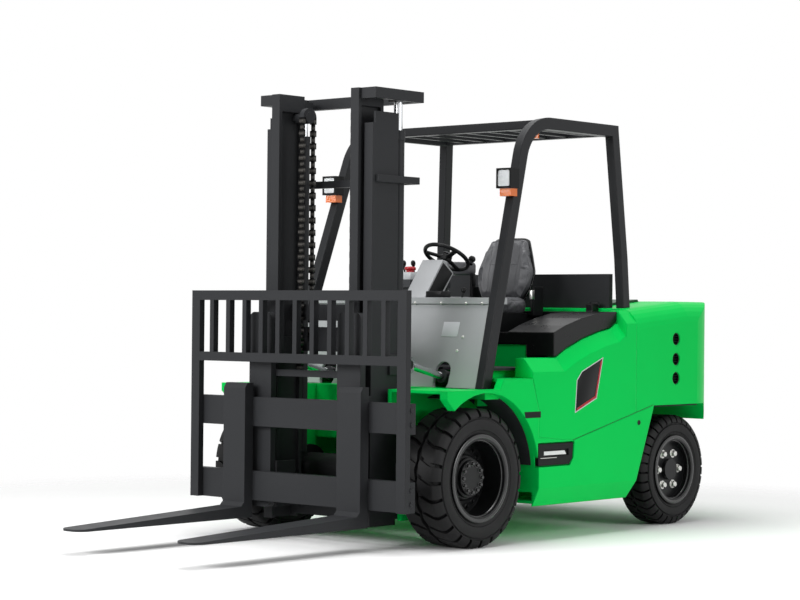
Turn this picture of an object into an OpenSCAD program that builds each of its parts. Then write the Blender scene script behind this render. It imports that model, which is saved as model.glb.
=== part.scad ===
// Electric counterbalance fork-lift truck.
// Millimetres, +Z up, forks point to -Y, +X is the driver's left.
// Inside the modules y = 0 is the drive axle and z = 0 the floor.

/* [Running gear] */
// drive axle to steer axle
wheelbase = 2130; // [2110:5:2150]
// front tyre radius at the lug tips
front_tyre_r = 415; // [408:1:420]
// front tyre width
front_tyre_w = 310; // [300:1:312]
// front wheel centre from the middle of the truck
front_wheel_x = 778; // [776:1:784]
// front rim barrel radius under the tyre
front_rim_r = 240; // [232:1:246]
// rear tyre radius at the lug tips
rear_tyre_r = 364; // [356:1:368]
// rear tyre width
rear_tyre_w = 235; // [226:1:240]
// rear wheel centre from the middle of the truck
rear_wheel_x = 745; // [742:1:750]
// rear rim barrel radius under the tyre
rear_rim_r = 205; // [198:1:210]
// king pin from the middle of the truck
kingpin_x = 595; // [590:1:598]
// king pin radius
kingpin_r = 28; // [24:1:30]
// drive axle tube radius
axle_tube_r = 90; // [80:1:92]
// front wheel spindle radius
drive_spindle_r = 70; // [60:1:74]
// rear wheel spindle radius
steer_spindle_r = 38; // [34:1:42]
// wheel nuts on each rim
nut_count = 6; // [5:1:8]

/* [Body] */
// half of the body's width
body_half = 940; // [938:1:950]
// underside of the sill
sill_z = 214; // [205:1:225]
// wheel arch radius
arch_r = 505; // [495:1:510]
// wheel arch centre behind the drive axle
arch_y = 40; // [35:1:44]
// fender plate thickness
fender_t = 18; // [12:1:20]
// front end of the fenders ahead of the drive axle
fender_front = 330; // [320:1:340]
// rear foot of the sill behind the drive axle
sill_rear_y = 1528; // [1510:1:1540]
// top of the doorway sill
doorway_z = 1000; // [985:1:1010]
// top of the cab floor
floor_z = 1060; // [1056:1:1066]
// floor plate thickness
floor_t = 15; // [10:1:16]
// front face of the battery hood
hood_front_y = 780; // [775:1:790]
// half of the hood's width
hood_half = 868; // [860:1:872]
// hood deck under the seat
hood_deck_z = 1276; // [1270:1:1282]
// gap between the hood and the panels under it
hood_gap = 8; // [6:1:12]
// hood wall thickness
hood_t = 26; // [20:1:30]
// battery block height
battery_h = 900; // [850:10:920]

/* [Counterweight] */
// front face of the counterweight
cw_front_y = 1565; // [1562:1:1570]
// rear end of the counterweight
cw_rear_y = 2629; // [2600:1:2650]
// plan radius of the rear corners
cw_corner_r = 400; // [360:5:420]
// height at the front edge of its top
cw_top_front_z = 1432; // [1428:1:1436]
// height of its crown
cw_top_z = 1485; // [1478:1:1495]
// underside over the steered wheels
cw_arch_z = 803; // [795:1:810]
// half width of the part between the steered wheels
cw_keel_half = 275; // [250:1:282]
// rounding of its upper side edges
cw_round_r = 130; // [100:1:140]
// vent hole radius
vent_r = 42; // [36:1:46]
// vent hole depth
vent_depth = 70; // [50:1:90]
// tow pin radius
tow_pin_r = 20; // [16:1:22]

/* [Overhead guard] */
// top of the guard's roof
guard_top_z = 2628; // [2600:1:2650]
// lean of each side frame towards the middle, degrees
guard_lean = 3.6; // [3:0.1:4]
// half width of the guard at the roof
guard_half = 705; // [695:1:715]
// width of the guard's tubes seen from the side
guard_tube_d = 74; // [64:1:80]
// width of the guard's tubes seen from the front
guard_tube_w = 60; // [50:1:66]
// foot of the front legs behind the drive axle
leg_foot_y = 156; // [150:1:160]
// slope of the front legs, degrees from upright
leg_slope = 17.6; // [17:0.1:18]
// rear legs at the roof
rear_leg_y = 1590; // [1580:1:1600]
// roof slats
slat_count = 7; // [5:1:9]

/* [Mast] */
// mast pivot ahead of the drive axle
mast_pivot_y = -150; // [-155:1:-145]
// mast pivot height
mast_pivot_z = 230; // [225:1:235]
// mast pivot pin radius
mast_pin_r = 45; // [40:1:48]
// outer face of the outer uprights
outer_half = 440; // [436:1:442]
// front face of the outer uprights
outer_front_y = -440; // [-444:1:-436]
// front to back size of the outer uprights
outer_d = 230; // [226:1:232]
// lower end of the uprights
mast_low_z = 120; // [110:1:130]
// reach of the inner mast above the outer one
mast_head = 138; // [134:1:160]
// outer face of the inner uprights
inner_half = 362; // [358:1:364]
// width of the inner uprights
inner_w = 65; // [60:1:68]
// front face of the inner uprights
inner_front_y = -481; // [-484:1:-478]
// front to back size of the inner uprights
inner_d = 221; // [216:1:224]
// top of the inner uprights with the mast as it stands
inner_top_z = 2728; // [2720:1:2740]
// height the inner mast stands above its lowest place
inner_raise = 75; // [65:1:80]
// upright wall thickness
upright_t = 24; // [18:1:25]
// lift cylinder barrel radius
lift_barrel_r = 40; // [34:1:42]
// lift cylinder rod radius
lift_rod_r = 27; // [22:1:28]
// chain line from the middle of the truck
chain_x = 215; // [205:1:225]
// chain width
chain_w = 36; // [30:1:40]
// chain thickness
chain_t = 22; // [18:1:24]
// length of one link
chain_pitch = 38; // [36:1:44]
// sheave radius at the chain's middle
sheave_r = 48; // [46:1:49]

/* [Carriage and forks] */
// half of the load guard's width
backrest_half = 892; // [880:1:900]
// top of the load guard
backrest_top_z = 1521; // [1500:1:1540]
// underside of the carriage's lower bar
carriage_low_z = 240; // [230:1:250]
// carriage bar height
bar_h = 178; // [165:1:185]
// underside of the upper bar
upper_bar_z = 692; // [680:1:705]
// carriage bar thickness
bar_t = 60; // [50:1:64]
// load guard uprights
slot_bars = 11; // [9:1:13]
// fork width
fork_w = 186; // [170:1:195]
// fork thickness at the heel
fork_t = 70; // [62:1:74]
// fork length ahead of its upright
fork_l = 1298; // [1200:2:1320]
// fork centre from the middle of the truck
fork_x = 477; // [460:1:490]
// underside of the forks above the floor
fork_z = 135; // [130:1:145]
// fork thickness at the tip
fork_tip_t = 12; // [10:1:16]
// top of the fork uprights
fork_top_z = 956; // [930:1:970]

/* [Tilt cylinders] */
// tilt cylinder line from the middle of the truck
tilt_x = 477; // [476:1:478]
// height of the rod eye on the mast
tilt_eye_z = 1080; // [1076:1:1084]
// barrel pin behind the drive axle
tilt_base_y = 640; // [635:1:645]
// barrel pin height
tilt_base_z = 900; // [897:1:903]
// tilt barrel radius
tilt_barrel_r = 42; // [36:1:44]
// tilt rod radius
tilt_rod_r = 24; // [20:1:26]

/* [Cab] */
// steering wheel radius
steer_wheel_r = 160; // [150:1:170]
// steering wheel rim thickness radius
steer_rim_r = 13; // [11:1:15]
// steering wheel centre behind the drive axle
steer_wheel_y = 720; // [715:1:728]
// steering wheel centre height
steer_wheel_z = 1754; // [1748:1:1760]
// distance of the steering column from the middle
steer_x = 40; // [30:1:50]
// steering wheel slope, degrees
steer_slope = 32; // [28:1:36]
// seat width
seat_w = 500; // [460:5:520]
// top of the seat cushion
seat_top_z = 1512; // [1500:1:1520]
// seat back height
seat_back_h = 460; // [420:5:480]
// middle of the seat, towards the driver's left
seat_x = 60; // [0:5:80]
// slope of the seat back, degrees
seat_slope = 11; // [9:1:13]

/* [Clearances] */
// radial clearance of turning pins
pin_gap = 0.05; // [0.02:0.01:0.1]
// gap between curved faces that do not bear
skin_gap = 0.3; // [0.2:0.05:0.5]
// gap between a turning part and its neighbour
run_gap = 8; // [6:1:10]
// bore clearance of the tilt rod eyes
eye_gap = 8; // [7:1:9]

/* [Hidden] */
$fn = 64;
// the box's middle along the truck, so that the part stands over its origin
fork_front_y = inner_front_y - 186;
tip_y = fork_front_y - fork_l;
datum_y = (tip_y + cw_rear_y) / 2;

front_axle_z = front_tyre_r;
rear_axle_z = rear_tyre_r;
front_half = front_tyre_w / 2;
rear_half = rear_tyre_w / 2;
flange_h = 22;
flange_t = 12;
bead_in = 17;

horn_x = 480;
horn_t = 30;
arch_z = 415;
fender_z = arch_z + arch_r + fender_t;
arch_back_y = arch_y + arch_r;
panel_t = 55;
sill_top_front = 640;
sill_top_mid = 610;
sill_mid_y = 890;
sill_rear_top_y = 1768;
sill_rear_top_z = 805;
cover_in_x = body_half - 140;
cover_front_y = 480;
cover_foot_z = 800;
cover_low_z = 1122;
hood_slope_y = 900;
hood_rear_y = cw_front_y - 10;
hood_tail_y = cw_front_y - 125;
deck_wall_t = 15;
belly_t = 20;
belly_z = 230;
tail_y = 1660;

skirt_half = 650;
steer_shaft_r = 14;
steer_shaft_l = 110;
hood_skirt_z = cover_low_z + hood_gap;
hood_tail_z = hood_skirt_z + 212;
recess_half = steer_wheel_r + 15;
recess_d = 92;
hinge_y = cw_front_y - 5;
hinge_z = cw_top_front_z + 26;

cw_crown_y = 2150;
cw_edge_r = 140;
cw_slope = atan((cw_top_z - cw_top_front_z) / (cw_crown_y - cw_front_y));
axle_slot_z = 560;

// the bend's circle touches the leg's front edge and the roof
bend_r = 340;
bend_y = leg_foot_y + ((guard_top_z - bend_r - fender_z) * sin(leg_slope) + bend_r
    - guard_tube_d / 2) / cos(leg_slope);
leg_len = (bend_y - leg_foot_y) * sin(leg_slope) + (guard_top_z - bend_r - fender_z) * cos(leg_slope);
leg_foot_x = guard_half + (guard_top_z - fender_z) * tan(guard_lean);
header_y = bend_y - 52;
rear_leg_l = guard_top_z - cw_top_front_z + 200;
rear_bend_l = rear_leg_l - 600;
cowl_z = 1450;
cowl_foot_half = leg_foot_x - guard_tube_w / 2 - 6;
cowl_top_half = cowl_foot_half - (cowl_z - fender_z) * tan(guard_lean);

bar_front_y = fork_front_y + fork_t;
bar_back_y = bar_front_y + bar_t;
plate_t = 27;
outer_back_y = outer_front_y + outer_d;
inner_back_y = inner_front_y + inner_d;
inner_low_z = mast_low_z + inner_raise;
lift_x = outer_half - lift_barrel_r - 5;
lift_y = outer_back_y + lift_barrel_r + 5;
lift_base_z = 520;
outer_top_z = inner_top_z - mast_head;
lift_barrel_top = outer_top_z - 100;
top_tie_h = 65;
top_tie_z = inner_top_z - top_tie_h;
top_tie_x = outer_half + 40;
link_step = 7;
carriage_tie_z = 1040;
column_half = 85;
console_z = 1610;
plate_in = 18;
sheave_z = inner_top_z - 140;
sheave_y = inner_front_y + 166;
tie_y = inner_back_y + 10;
tie_t = 38;
mid_tie_z = 1150;
mid_tie_h = 150;
upper_tie_z = outer_top_z - 421;
upper_tie_h = 43;

tilt_eye_y = mast_pivot_y;
tilt_dy = tilt_base_y - tilt_eye_y;
tilt_dz = tilt_eye_z - tilt_base_z;
tilt_angle = atan(tilt_dz / tilt_dy);
tilt_len = sqrt(tilt_dy * tilt_dy + tilt_dz * tilt_dz);
tilt_pin_r = 22;
tilt_barrel_l = 490;
tilt_eye_w = 28;

// both sides of the truck
module pair() {
    children();
    mirror([1, 0, 0]) children();
}

// block between two opposite corners
module box(lo, hi) {
    translate(lo) cube(hi - lo);
}

// outline in y and z drawn out along the truck's width
module along_x(x0, x1) {
    translate([x0, 0, 0]) rotate([90, 0, 90]) linear_extrude(x1 - x0) children();
}

// round bar across the truck
module rod_x(x0, x1, y, z, r) {
    translate([x0, y, z]) rotate([0, 90, 0]) cylinder(h = x1 - x0, r = r);
}

// outline with rounded corners
module round_rect(lo, hi, r) {
    translate([lo[0] + r, lo[1]]) square([hi[0] - lo[0] - 2 * r, hi[1] - lo[1]]);
    translate([lo[0], lo[1] + r]) square([hi[0] - lo[0], hi[1] - lo[1] - 2 * r]);
    for (u = [lo[0] + r, hi[0] - r], v = [lo[1] + r, hi[1] - r]) translate([u, v]) circle(r);
}

// body turned about an axis across the truck, its outline in radius and offset
module turned(x, y, z) {
    translate([x, y, z]) rotate([0, 90, 0]) rotate_extrude() children();
}

// height of the sill's upper edge
function sill_top(y) = y < sill_mid_y
    ? sill_top_front + (y - arch_back_y) / (sill_mid_y - arch_back_y) * (sill_top_mid - sill_top_front)
    : sill_top_mid + (y - sill_mid_y) / (sill_rear_top_y - sill_mid_y) * (sill_rear_top_z - sill_top_mid);

// height of the counterweight's top ahead of its crown
function cw_top(y) = cw_top_front_z + (y - cw_front_y) * tan(cw_slope);

// points of the hood's lower edge, lowered by a gap
function hood_edge(g) = [for (q = [[hood_slope_y - 100, 0], [hood_slope_y, 50], [1067, 111], [1236, 155],
    [1373, 181], [hood_tail_y - 10, hood_tail_z - hood_skirt_z]]) [q[0], hood_skirt_z + q[1] - g]];

// points along the hood's top, from its front lip to its tail
function hood_top(t) = [for (q = [[hood_front_y, 3], [hood_slope_y, 47], [1065, 92], [1234, 124], [1389, 135],
    [hood_tail_y, 136]]) [q[0], hood_deck_z + q[1] - t]];

// vertical fall of the shoulder from the hood's edge to the side
shoulder_drop = 85;

// solid with one section, points of x and z, carried along stations, points of y and z
module folded_bar(section, stations) {
    n = len(section);
    last = len(stations) - 1;
    sides = [for (i = [0 : last - 1]) for (k = [0 : n - 1])
        [i * n + k, i * n + (k + 1) % n, (i + 1) * n + (k + 1) % n, (i + 1) * n + k]];
    polyhedron([for (s = stations) for (q = section) [q[0], s[0], s[1] + q[1]]],
        concat([[for (k = [n - 1 : -1 : 0]) k]], [[for (k = [0 : n - 1]) last * n + k]], sides));
}

// opening for the front wheel, in y and z
module arch_outline() {
    translate([arch_y, arch_z]) circle(arch_r);
    translate([arch_y - arch_r, 0]) square([2 * arch_r, arch_z]);
}

module side_plate_outline() {
    difference() {
        polygon([[-fender_front, fender_z - 50], [-fender_front, fender_z], [165, fender_z],
            [200, doorway_z], [cover_front_y - 4, doorway_z], [arch_back_y, cover_foot_z],
            [arch_back_y, sill_top_front], [sill_mid_y, sill_top_mid],
            [sill_rear_top_y, sill_rear_top_z], [sill_rear_y, sill_z], [400, sill_z]]);
        arch_outline();
    }
}

module horn_outline() {
    difference() {
        polygon([[-fender_front, fender_z], [-fender_front, 790], [-235, 640], [-235, 150],
            [-70, 150], [60, belly_z], [hood_front_y + 5, belly_z], [hood_front_y + 5, 830],
            [300, 830], [215, fender_z]]);
        translate([0, front_axle_z]) circle(axle_tube_r + skin_gap);
    }
}

module frame_side() {
    difference() {
        along_x(body_half - panel_t, body_half) side_plate_outline();
        // bevel under the sill
        translate([body_half, 0, sill_z + 110]) rotate([0, 25, 0])
            translate([0, arch_back_y - 300, -300]) cube([200, 2000, 300]);
        // recess of the step lamp
        along_x(body_half - 30, body_half + 1)
            polygon([[535, 604], [905, 604], [895, 500], [860, 456], [535, 456]]);
    }
    // fender roof and wheel house
    along_x(horn_x + horn_t, body_half - panel_t) {
        translate([-fender_front, fender_z - fender_t]) square([fender_front + arch_y, fender_t]);
        translate([arch_back_y, 300]) square([fender_t, arch_z - 300]);
        intersection() {
            difference() {
                translate([arch_y, arch_z]) circle(arch_r + fender_t);
                translate([arch_y, arch_z]) circle(arch_r);
            }
            translate([arch_y, arch_z]) square(arch_r + fender_t);
        }
    }
    along_x(horn_x, horn_x + horn_t) horn_outline();
    // pin of the mast
    rod_x(outer_half - 45, horn_x, mast_pivot_y, mast_pivot_z, mast_pin_r);
    rod_x(outer_half + run_gap, horn_x, mast_pivot_y, mast_pivot_z, mast_pin_r + 20);
    // bracket and pin of the tilt cylinder
    box([tilt_x - 52, tilt_base_y - 40, 790], [tilt_x + 52, tilt_base_y + 40, 830]);
    for (x = [tilt_x - 52, tilt_x + 30])
        box([x, tilt_base_y - 40, 830], [x + 22, tilt_base_y + 40, tilt_base_z + 40]);
    rod_x(tilt_x - 40, tilt_x + 40, tilt_base_y, tilt_base_z, tilt_pin_r);
    // pad under the guard's front leg
    box([leg_foot_x - 60, leg_foot_y - 70, fender_z - 60], [body_half - panel_t, leg_foot_y + 60, fender_z]);
    // floor bearer and doorway ledge
    box([700, 215, 830], [720, hood_front_y + 5, floor_z - floor_t]);
    box([720, leg_foot_y + guard_tube_d, doorway_z - 20],
        [body_half - panel_t, cover_front_y - 4, doorway_z]);
}

module frame() {
    color("limegreen") {
        pair() frame_side();
        box([-horn_x, 60, fender_z - fender_t], [horn_x, 215, fender_z]);
        box([-horn_x, 60, 600], [horn_x, 80, fender_z - fender_t]);
        box([-(body_half - panel_t), arch_back_y, belly_z],
            [body_half - panel_t, sill_rear_y, belly_z + belly_t]);
        box([-horn_x, 60, belly_z], [horn_x, tail_y, belly_z + belly_t]);
        // wall under the hood's front, lower beside its skirt
        box([-cover_in_x, hood_front_y + 5, belly_z],
            [cover_in_x, hood_front_y + 5 + deck_wall_t, hood_skirt_z - run_gap]);
        box([-skirt_half + run_gap, hood_front_y + 5, belly_z],
            [skirt_half - run_gap, hood_front_y + 5 + deck_wall_t, hood_deck_z - 80]);
        box([-600, tail_y - 20, belly_z], [600, tail_y, 1000]);
    }
}

module side_cover_outline() {
    polygon([[cover_front_y, doorway_z + 4], [arch_back_y, cover_foot_z], [arch_back_y, sill_top_front],
        [sill_mid_y, sill_top_mid], [cw_front_y, sill_top(cw_front_y)],
        [cw_front_y, cw_top_z], [cover_front_y, cw_top_z]]);
}

// the cover's upper edge, from its front corner to the counterweight
function shoulder_line() = concat([[cover_front_y, cover_low_z]], hood_edge(hood_gap),
    [[hood_tail_y + hood_gap, hood_tail_z - hood_gap], [hood_tail_y + 2 * hood_gap, cw_top_front_z - 14],
        [cw_front_y, cw_top_front_z - 10]]);

// all above the cover's upper edge: level inwards of the hood's side, then falling to the body's side
module above_shoulder() {
    fall = shoulder_drop / (body_half - hood_half);
    edge = shoulder_line();
    ends = [edge[0] - [40, 0], edge[len(edge) - 1] + [40, 0]];
    folded_bar([[cover_in_x - 20, 0], [hood_half, 0], [body_half + 20, -shoulder_drop - 20 * fall],
        [body_half + 20, 800], [cover_in_x - 20, 800]], concat([ends[0]], edge, [ends[1]]));
}

module side_cover() {
    difference() {
        along_x(cover_in_x, body_half) side_cover_outline();
        above_shoulder();
    }
}

module side_covers() {
    color("limegreen") pair() side_cover();
}

module cw_plan() {
    intersection() {
        round_rect([-body_half - 2, cw_rear_y - 2000], [body_half + 2, cw_rear_y], cw_corner_r);
        translate([-body_half - 2, cw_front_y]) square([2 * body_half + 4, 2000]);
    }
}

module cw_side_outline() {
    polygon([[cw_front_y - 20, sill_top(cw_front_y - 20)], [sill_rear_top_y, sill_rear_top_z],
        [sill_rear_top_y + 10, cw_arch_z], [2400, cw_arch_z], [2480, 690], [cw_rear_y - 100, 690],
        [cw_rear_y + 20, 894], [cw_rear_y + 20, cw_top_z + 50], [cw_front_y - 20, cw_top_z + 50]]);
}

// bar as wide as the counterweight with its upper edges rounded, following the top from front to rear
module cw_rounding() {
    arc = [for (a = [0 : 15 : 90]) cw_round_r * [cos(a) - 1, sin(a) - 1]];
    section = concat([[-body_half, -1200], [body_half, -1200]], [for (q = arc) [body_half + q[0], q[1]]],
        [for (i = [len(arc) - 1 : -1 : 0]) [-body_half - arc[i][0], arc[i][1]]]);
    rear = [for (a = [90 : -20 : 10])
        [cw_rear_y - 125, cw_top_z - cw_edge_r] + cw_edge_r * [cos(a), sin(a)]];
    folded_bar(section, concat([[cw_front_y - 60, cw_top(cw_front_y - 60)], [cw_crown_y, cw_top_z]], rear));
}

module counterweight() {
    color("limegreen") difference() {
        union() {
            intersection() {
                translate([0, 0, 500]) linear_extrude(1200) cw_plan();
                along_x(-body_half - 20, body_half + 20) cw_side_outline();
                cw_rounding();
            }
            // keel between the steered wheels
            along_x(-cw_keel_half, cw_keel_half)
                polygon([[tail_y, 260], [cw_rear_y - 190, 260], [cw_rear_y - 40, 420],
                    [cw_rear_y - 40, 900], [tail_y, 900]]);
        }
        // room for the steer axle
        box([-400, wheelbase - 140, 200], [400, wheelbase + 140, axle_slot_z]);
        // clearance inside for the battery and the tail plate
        box([-700, cw_front_y - 1, 500], [700, tail_y, cw_top_front_z - 60]);
        pair() for (z = [977, 1103, 1236])
            rod_x(body_half - vent_depth, body_half + 1, 2018, z, vent_r);
        // mouth of the tow coupling
        box([-90, cw_rear_y - 180, 560], [90, cw_rear_y + 1, 640]);
        translate([0, cw_rear_y - 110, 500]) cylinder(h = 220, r = tow_pin_r + skin_gap);
    }
    color("dimgray") translate([0, cw_rear_y - 110, 505]) cylinder(h = 240, r = tow_pin_r);
}

module top_cover() {
    color("darkgreen") along_x(-560, 560)
        polygon([for (q = [[1680, 0], [2120, 0], [2110, 16], [1690, 16]])
            [q[0], cw_top(q[0]) + skin_gap + q[1]]]);
}

module battery() {
    color("gray") box([-640, hood_front_y + 5 + deck_wall_t + 15, belly_z + belly_t],
        [640, cw_front_y - 25, belly_z + belly_t + battery_h]);
}

// room in the hood's front edge, so that it passes the steering wheel as it opens
module hood_recess() {
    box([steer_x - recess_half, hood_front_y - 1, 900],
        [steer_x + recess_half, hood_front_y + recess_d, hood_deck_z + 1]);
}

// ledge that fills the recess when the hood is shut
module recess_ledge() {
    half = recess_half - hood_gap;
    box([steer_x - half, hood_front_y - 14, floor_z - 1],
        [steer_x + half, hood_front_y - 2, hood_deck_z - 6]);
    box([steer_x - half, hood_front_y - 14, hood_deck_z - 26],
        [steer_x + half, hood_front_y + recess_d - 2 * hood_gap, hood_deck_z - 6]);
}

module floor_plate() {
    color("dimgray") {
        recess_ledge();
        difference() {
            box([-cover_in_x + 35, 235, floor_z - floor_t], [cover_in_x - 35, hood_front_y - 2, floor_z]);
            // slots over the tilt cylinders
            pair() box([tilt_x - tilt_barrel_r - run_gap, 234, floor_z - floor_t - 1],
                [tilt_x + tilt_barrel_r + run_gap, 330, floor_z + 1]);
        }
        // pedals on their stalks
        for (x = [-190, -50]) {
            translate([x, 330, floor_z + 60]) rotate([-35, 0, 0]) cube([80, 150, 14]);
            box([x + 30, 390, floor_z - 1], [x + 50, 410, floor_z + 80]);
        }
    }
}

module front_cowl() {
    color("gray") intersection() {
        difference() {
            translate([0, leg_foot_y, fender_z]) rotate([90 - leg_slope, 0, 0])
                translate([0, 0, -12]) linear_extrude(24)
                polygon([[-cowl_foot_half, -60], [cowl_foot_half, -60],
                    [cowl_top_half, 560], [-cowl_top_half, 560]]);
            pair() translate([tilt_x, leg_foot_y, 1005]) rotate([-90, 0, 0])
                translate([0, 0, -100]) linear_extrude(240) round_rect([-62, -90], [62, 90], 60);
        }
        box([-900, -100, fender_z], [900, 900, cowl_z]);
    }
}

module at_column() {
    translate([steer_x, steer_wheel_y, steer_wheel_z]) rotate([-steer_slope, 0, 0]) children();
}

module dashboard() {
    color("gray") {
        // ledge across the top of the cowl
        box([-cowl_top_half + 2, 290, cowl_z], [cowl_top_half - 2, 470, cowl_z + 40]);
        difference() {
            union() {
                // column cover
                along_x(steer_x - column_half, steer_x + column_half) polygon([[400, cowl_z + 30],
                    [560, cowl_z + 30], [690, 1650], [585, 1733]]);
                // column tube
                at_column() translate([0, 0, -190]) cylinder(h = 150, r = 30);
            }
            at_column() translate([0, 0, -steer_shaft_l - 2])
                cylinder(h = steer_shaft_l, r = steer_shaft_r + pin_gap);
        }
    }
}

module side_console() {
    color("gray") {
        box([-470, 830, hood_deck_z], [-340, 1180, 1560]);
        box([-480, 790, 1560], [-330, 1200, console_z]);
        // stop switch box at the front end
        box([-405, 794, console_z - 1], [-333, 874, console_z + 50]);
    }
    color("red") translate([-369, 834, console_z + 49]) cylinder(h = 35, r = 26);
}

module guard_side_outline() {
    // front leg
    translate([leg_foot_y, fender_z]) rotate(-leg_slope)
        translate([-guard_tube_d / 2, -60]) square([guard_tube_d, leg_len + 60]);
    // bend into the roof
    translate([bend_y, guard_top_z - bend_r]) intersection() {
        difference() {
            circle(bend_r);
            circle(bend_r - guard_tube_d);
        }
        polygon([[0, 0], [-600 * cos(leg_slope), 600 * sin(leg_slope)], [-600, 600], [0, 600]]);
    }
    // roof rail
    translate([bend_y, guard_top_z - guard_tube_d])
        square([rear_leg_y + 40 - bend_y, guard_tube_d]);
    // rear leg
    translate([rear_leg_y, guard_top_z - guard_tube_d]) polygon([[-32, guard_tube_d / 2],
        [40, guard_tube_d / 2], [78, -rear_bend_l], [78, -rear_leg_l],
        [10, -rear_leg_l], [10, -rear_bend_l]]);
}

// both side frames of the guard, leaning towards the middle
module guard_sides() {
    pair() translate([guard_half, 0, guard_top_z]) rotate([0, -guard_lean, 0])
        translate([0, 0, -guard_top_z])
        along_x(-guard_tube_w / 2, guard_tube_w / 2) guard_side_outline();
}

module overhead_guard() {
    color("dimgray") {
        intersection() {
            guard_sides();
            union() {
                box([-1000, -100, fender_z], [1000, cw_front_y, 3000]);
                along_x(-1000, 1000) polygon([[cw_front_y, cw_top_front_z], [cw_crown_y, cw_top_z],
                    [cw_crown_y, 3000], [cw_front_y, 3000]]);
            }
        }
        // headers
        box([-guard_half, header_y, guard_top_z - 66], [guard_half, header_y + 60, guard_top_z - 12]);
        box([-guard_half, rear_leg_y - 20, guard_top_z - 66],
            [guard_half, rear_leg_y + 30, guard_top_z - 12]);
        // roof slats
        for (i = [0 : slat_count - 1]) {
            x = -guard_half + 2 * guard_half * (i + 1) / (slat_count + 1);
            box([x - 15, header_y + 10, guard_top_z - 60], [x + 15, rear_leg_y, guard_top_z - 18]);
        }
    }
}

module rear_panel() {
    color("dimgray") {
        along_x(-690, 690) polygon([[1606, cw_top(1606) + skin_gap], [1641, cw_top(1641) + skin_gap],
            [1641, 1660], [1606, 1660]]);
        // brackets and pins of the hood hinge
        pair() {
            box([560, hinge_y - 14, hinge_z - 8], [575, 1607, hinge_z + 14]);
            rod_x(560, 640, hinge_y, hinge_z, 8);
        }
    }
}

module lamp_at(x) {
    translate([x, leg_foot_y + (2225 - fender_z) * tan(leg_slope) - 94, 2225]) children();
}

module headlamps() {
    color("black") difference() {
        pair() lamp_at(735) {
            difference() {
                box([-58, -40, -62], [58, 46, 62]);
                translate([0, -41, 0]) rotate([-90, 0, 0])
                    linear_extrude(12) round_rect([-46, -50], [46, 50], 12);
            }
            // arm to the leg
            box([-20, 45, -30], [20, 80, 0]);
        }
        guard_sides();
    }
}

module lamp_lenses() {
    color("white") pair() lamp_at(735) translate([0, -37, 0]) rotate([-90, 0, 0])
        linear_extrude(8) round_rect([-45, -49], [45, 49], 11);
}

module indicators() {
    color("orange") {
        difference() {
            pair() lamp_at(735) box([-45, -20, -110], [45, 40, -62]);
            guard_sides();
        }
        pair() translate([guard_half - 80, header_y + 30, guard_top_z - 66 - 60]) cylinder(h = 60, r = 28);
    }
}

module step_lamps() {
    color("black") pair() difference() {
        along_x(body_half - 30, body_half - 4)
            polygon([[545, 596], [897, 596], [888, 503], [856, 464], [545, 464]]);
        along_x(body_half - 14, body_half) polygon([[600, 560], [850, 560], [850, 520], [600, 520]]);
    }
}

module drive_axle() {
    color("dimgray") {
        pair() {
            rod_x(0, 520, 0, front_axle_z, axle_tube_r);
            rod_x(horn_x - 20, horn_x, 0, front_axle_z, axle_tube_r + 50);
            rod_x(horn_x + horn_t, front_wheel_x - front_half + 17, 0, front_axle_z, 175);
            rod_x(600, front_wheel_x + 35, 0, front_axle_z, drive_spindle_r);
        }
        // final drive and motor
        translate([-60, 60, front_axle_z]) sphere(165);
        translate([-60, 60, front_axle_z]) rotate([-90, 0, 0]) cylinder(h = 420, r = 140);
    }
}

module steer_axle() {
    color("dimgray") {
        box([-kingpin_x + 70, wheelbase - 60, rear_axle_z - 70],
            [kingpin_x - 70, wheelbase + 60, rear_axle_z + 70]);
        box([-120, wheelbase - 60, rear_axle_z + 70], [120, wheelbase + 60, axle_slot_z]);
        pair() {
            // ears above and below the knuckle
            for (z = [rear_axle_z - 118, rear_axle_z + 78]) {
                translate([kingpin_x, wheelbase, z]) cylinder(h = 40, r = 58);
                box([kingpin_x - 120, wheelbase - 58, z], [kingpin_x, wheelbase + 58, z + 40]);
            }
            box([kingpin_x - 120, wheelbase - 58, rear_axle_z - 118],
                [kingpin_x - 75, wheelbase + 58, rear_axle_z + 118]);
            translate([kingpin_x, wheelbase, rear_axle_z - 100]) cylinder(h = 200, r = kingpin_r);
        }
    }
}

module knuckle() {
    color("gray") difference() {
        union() {
            translate([kingpin_x, wheelbase, rear_axle_z - 70]) cylinder(h = 140, r = 58);
            rod_x(kingpin_x, kingpin_x + 80, wheelbase, rear_axle_z, 56);
            rod_x(kingpin_x, rear_wheel_x + 55, wheelbase, rear_axle_z, steer_spindle_r);
        }
        translate([kingpin_x, wheelbase, rear_axle_z - 90]) cylinder(h = 180, r = kingpin_r + pin_gap);
    }
}

module tyre_outline(r_out, r_in, half, step) {
    polygon([[r_in, -half + bead_in], [r_in + step, -half + bead_in], [r_in + step + 18, -half + 5],
        [r_in + step + 50, -half], [r_out - 37, -half + 5], [r_out - 13, -half + 20], [r_out, -half + 35],
        [r_out, half - 35], [r_out - 13, half - 20], [r_out - 37, half - 5], [r_in + step + 50, half],
        [r_in + step + 18, half - 5], [r_in + step, half - bead_in], [r_in, half - bead_in]]);
}

module front_tyre() {
    color("black") turned(front_wheel_x, 0, front_axle_z)
        tyre_outline(front_tyre_r, front_rim_r + skin_gap, front_half, flange_h + 2);
}

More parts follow.
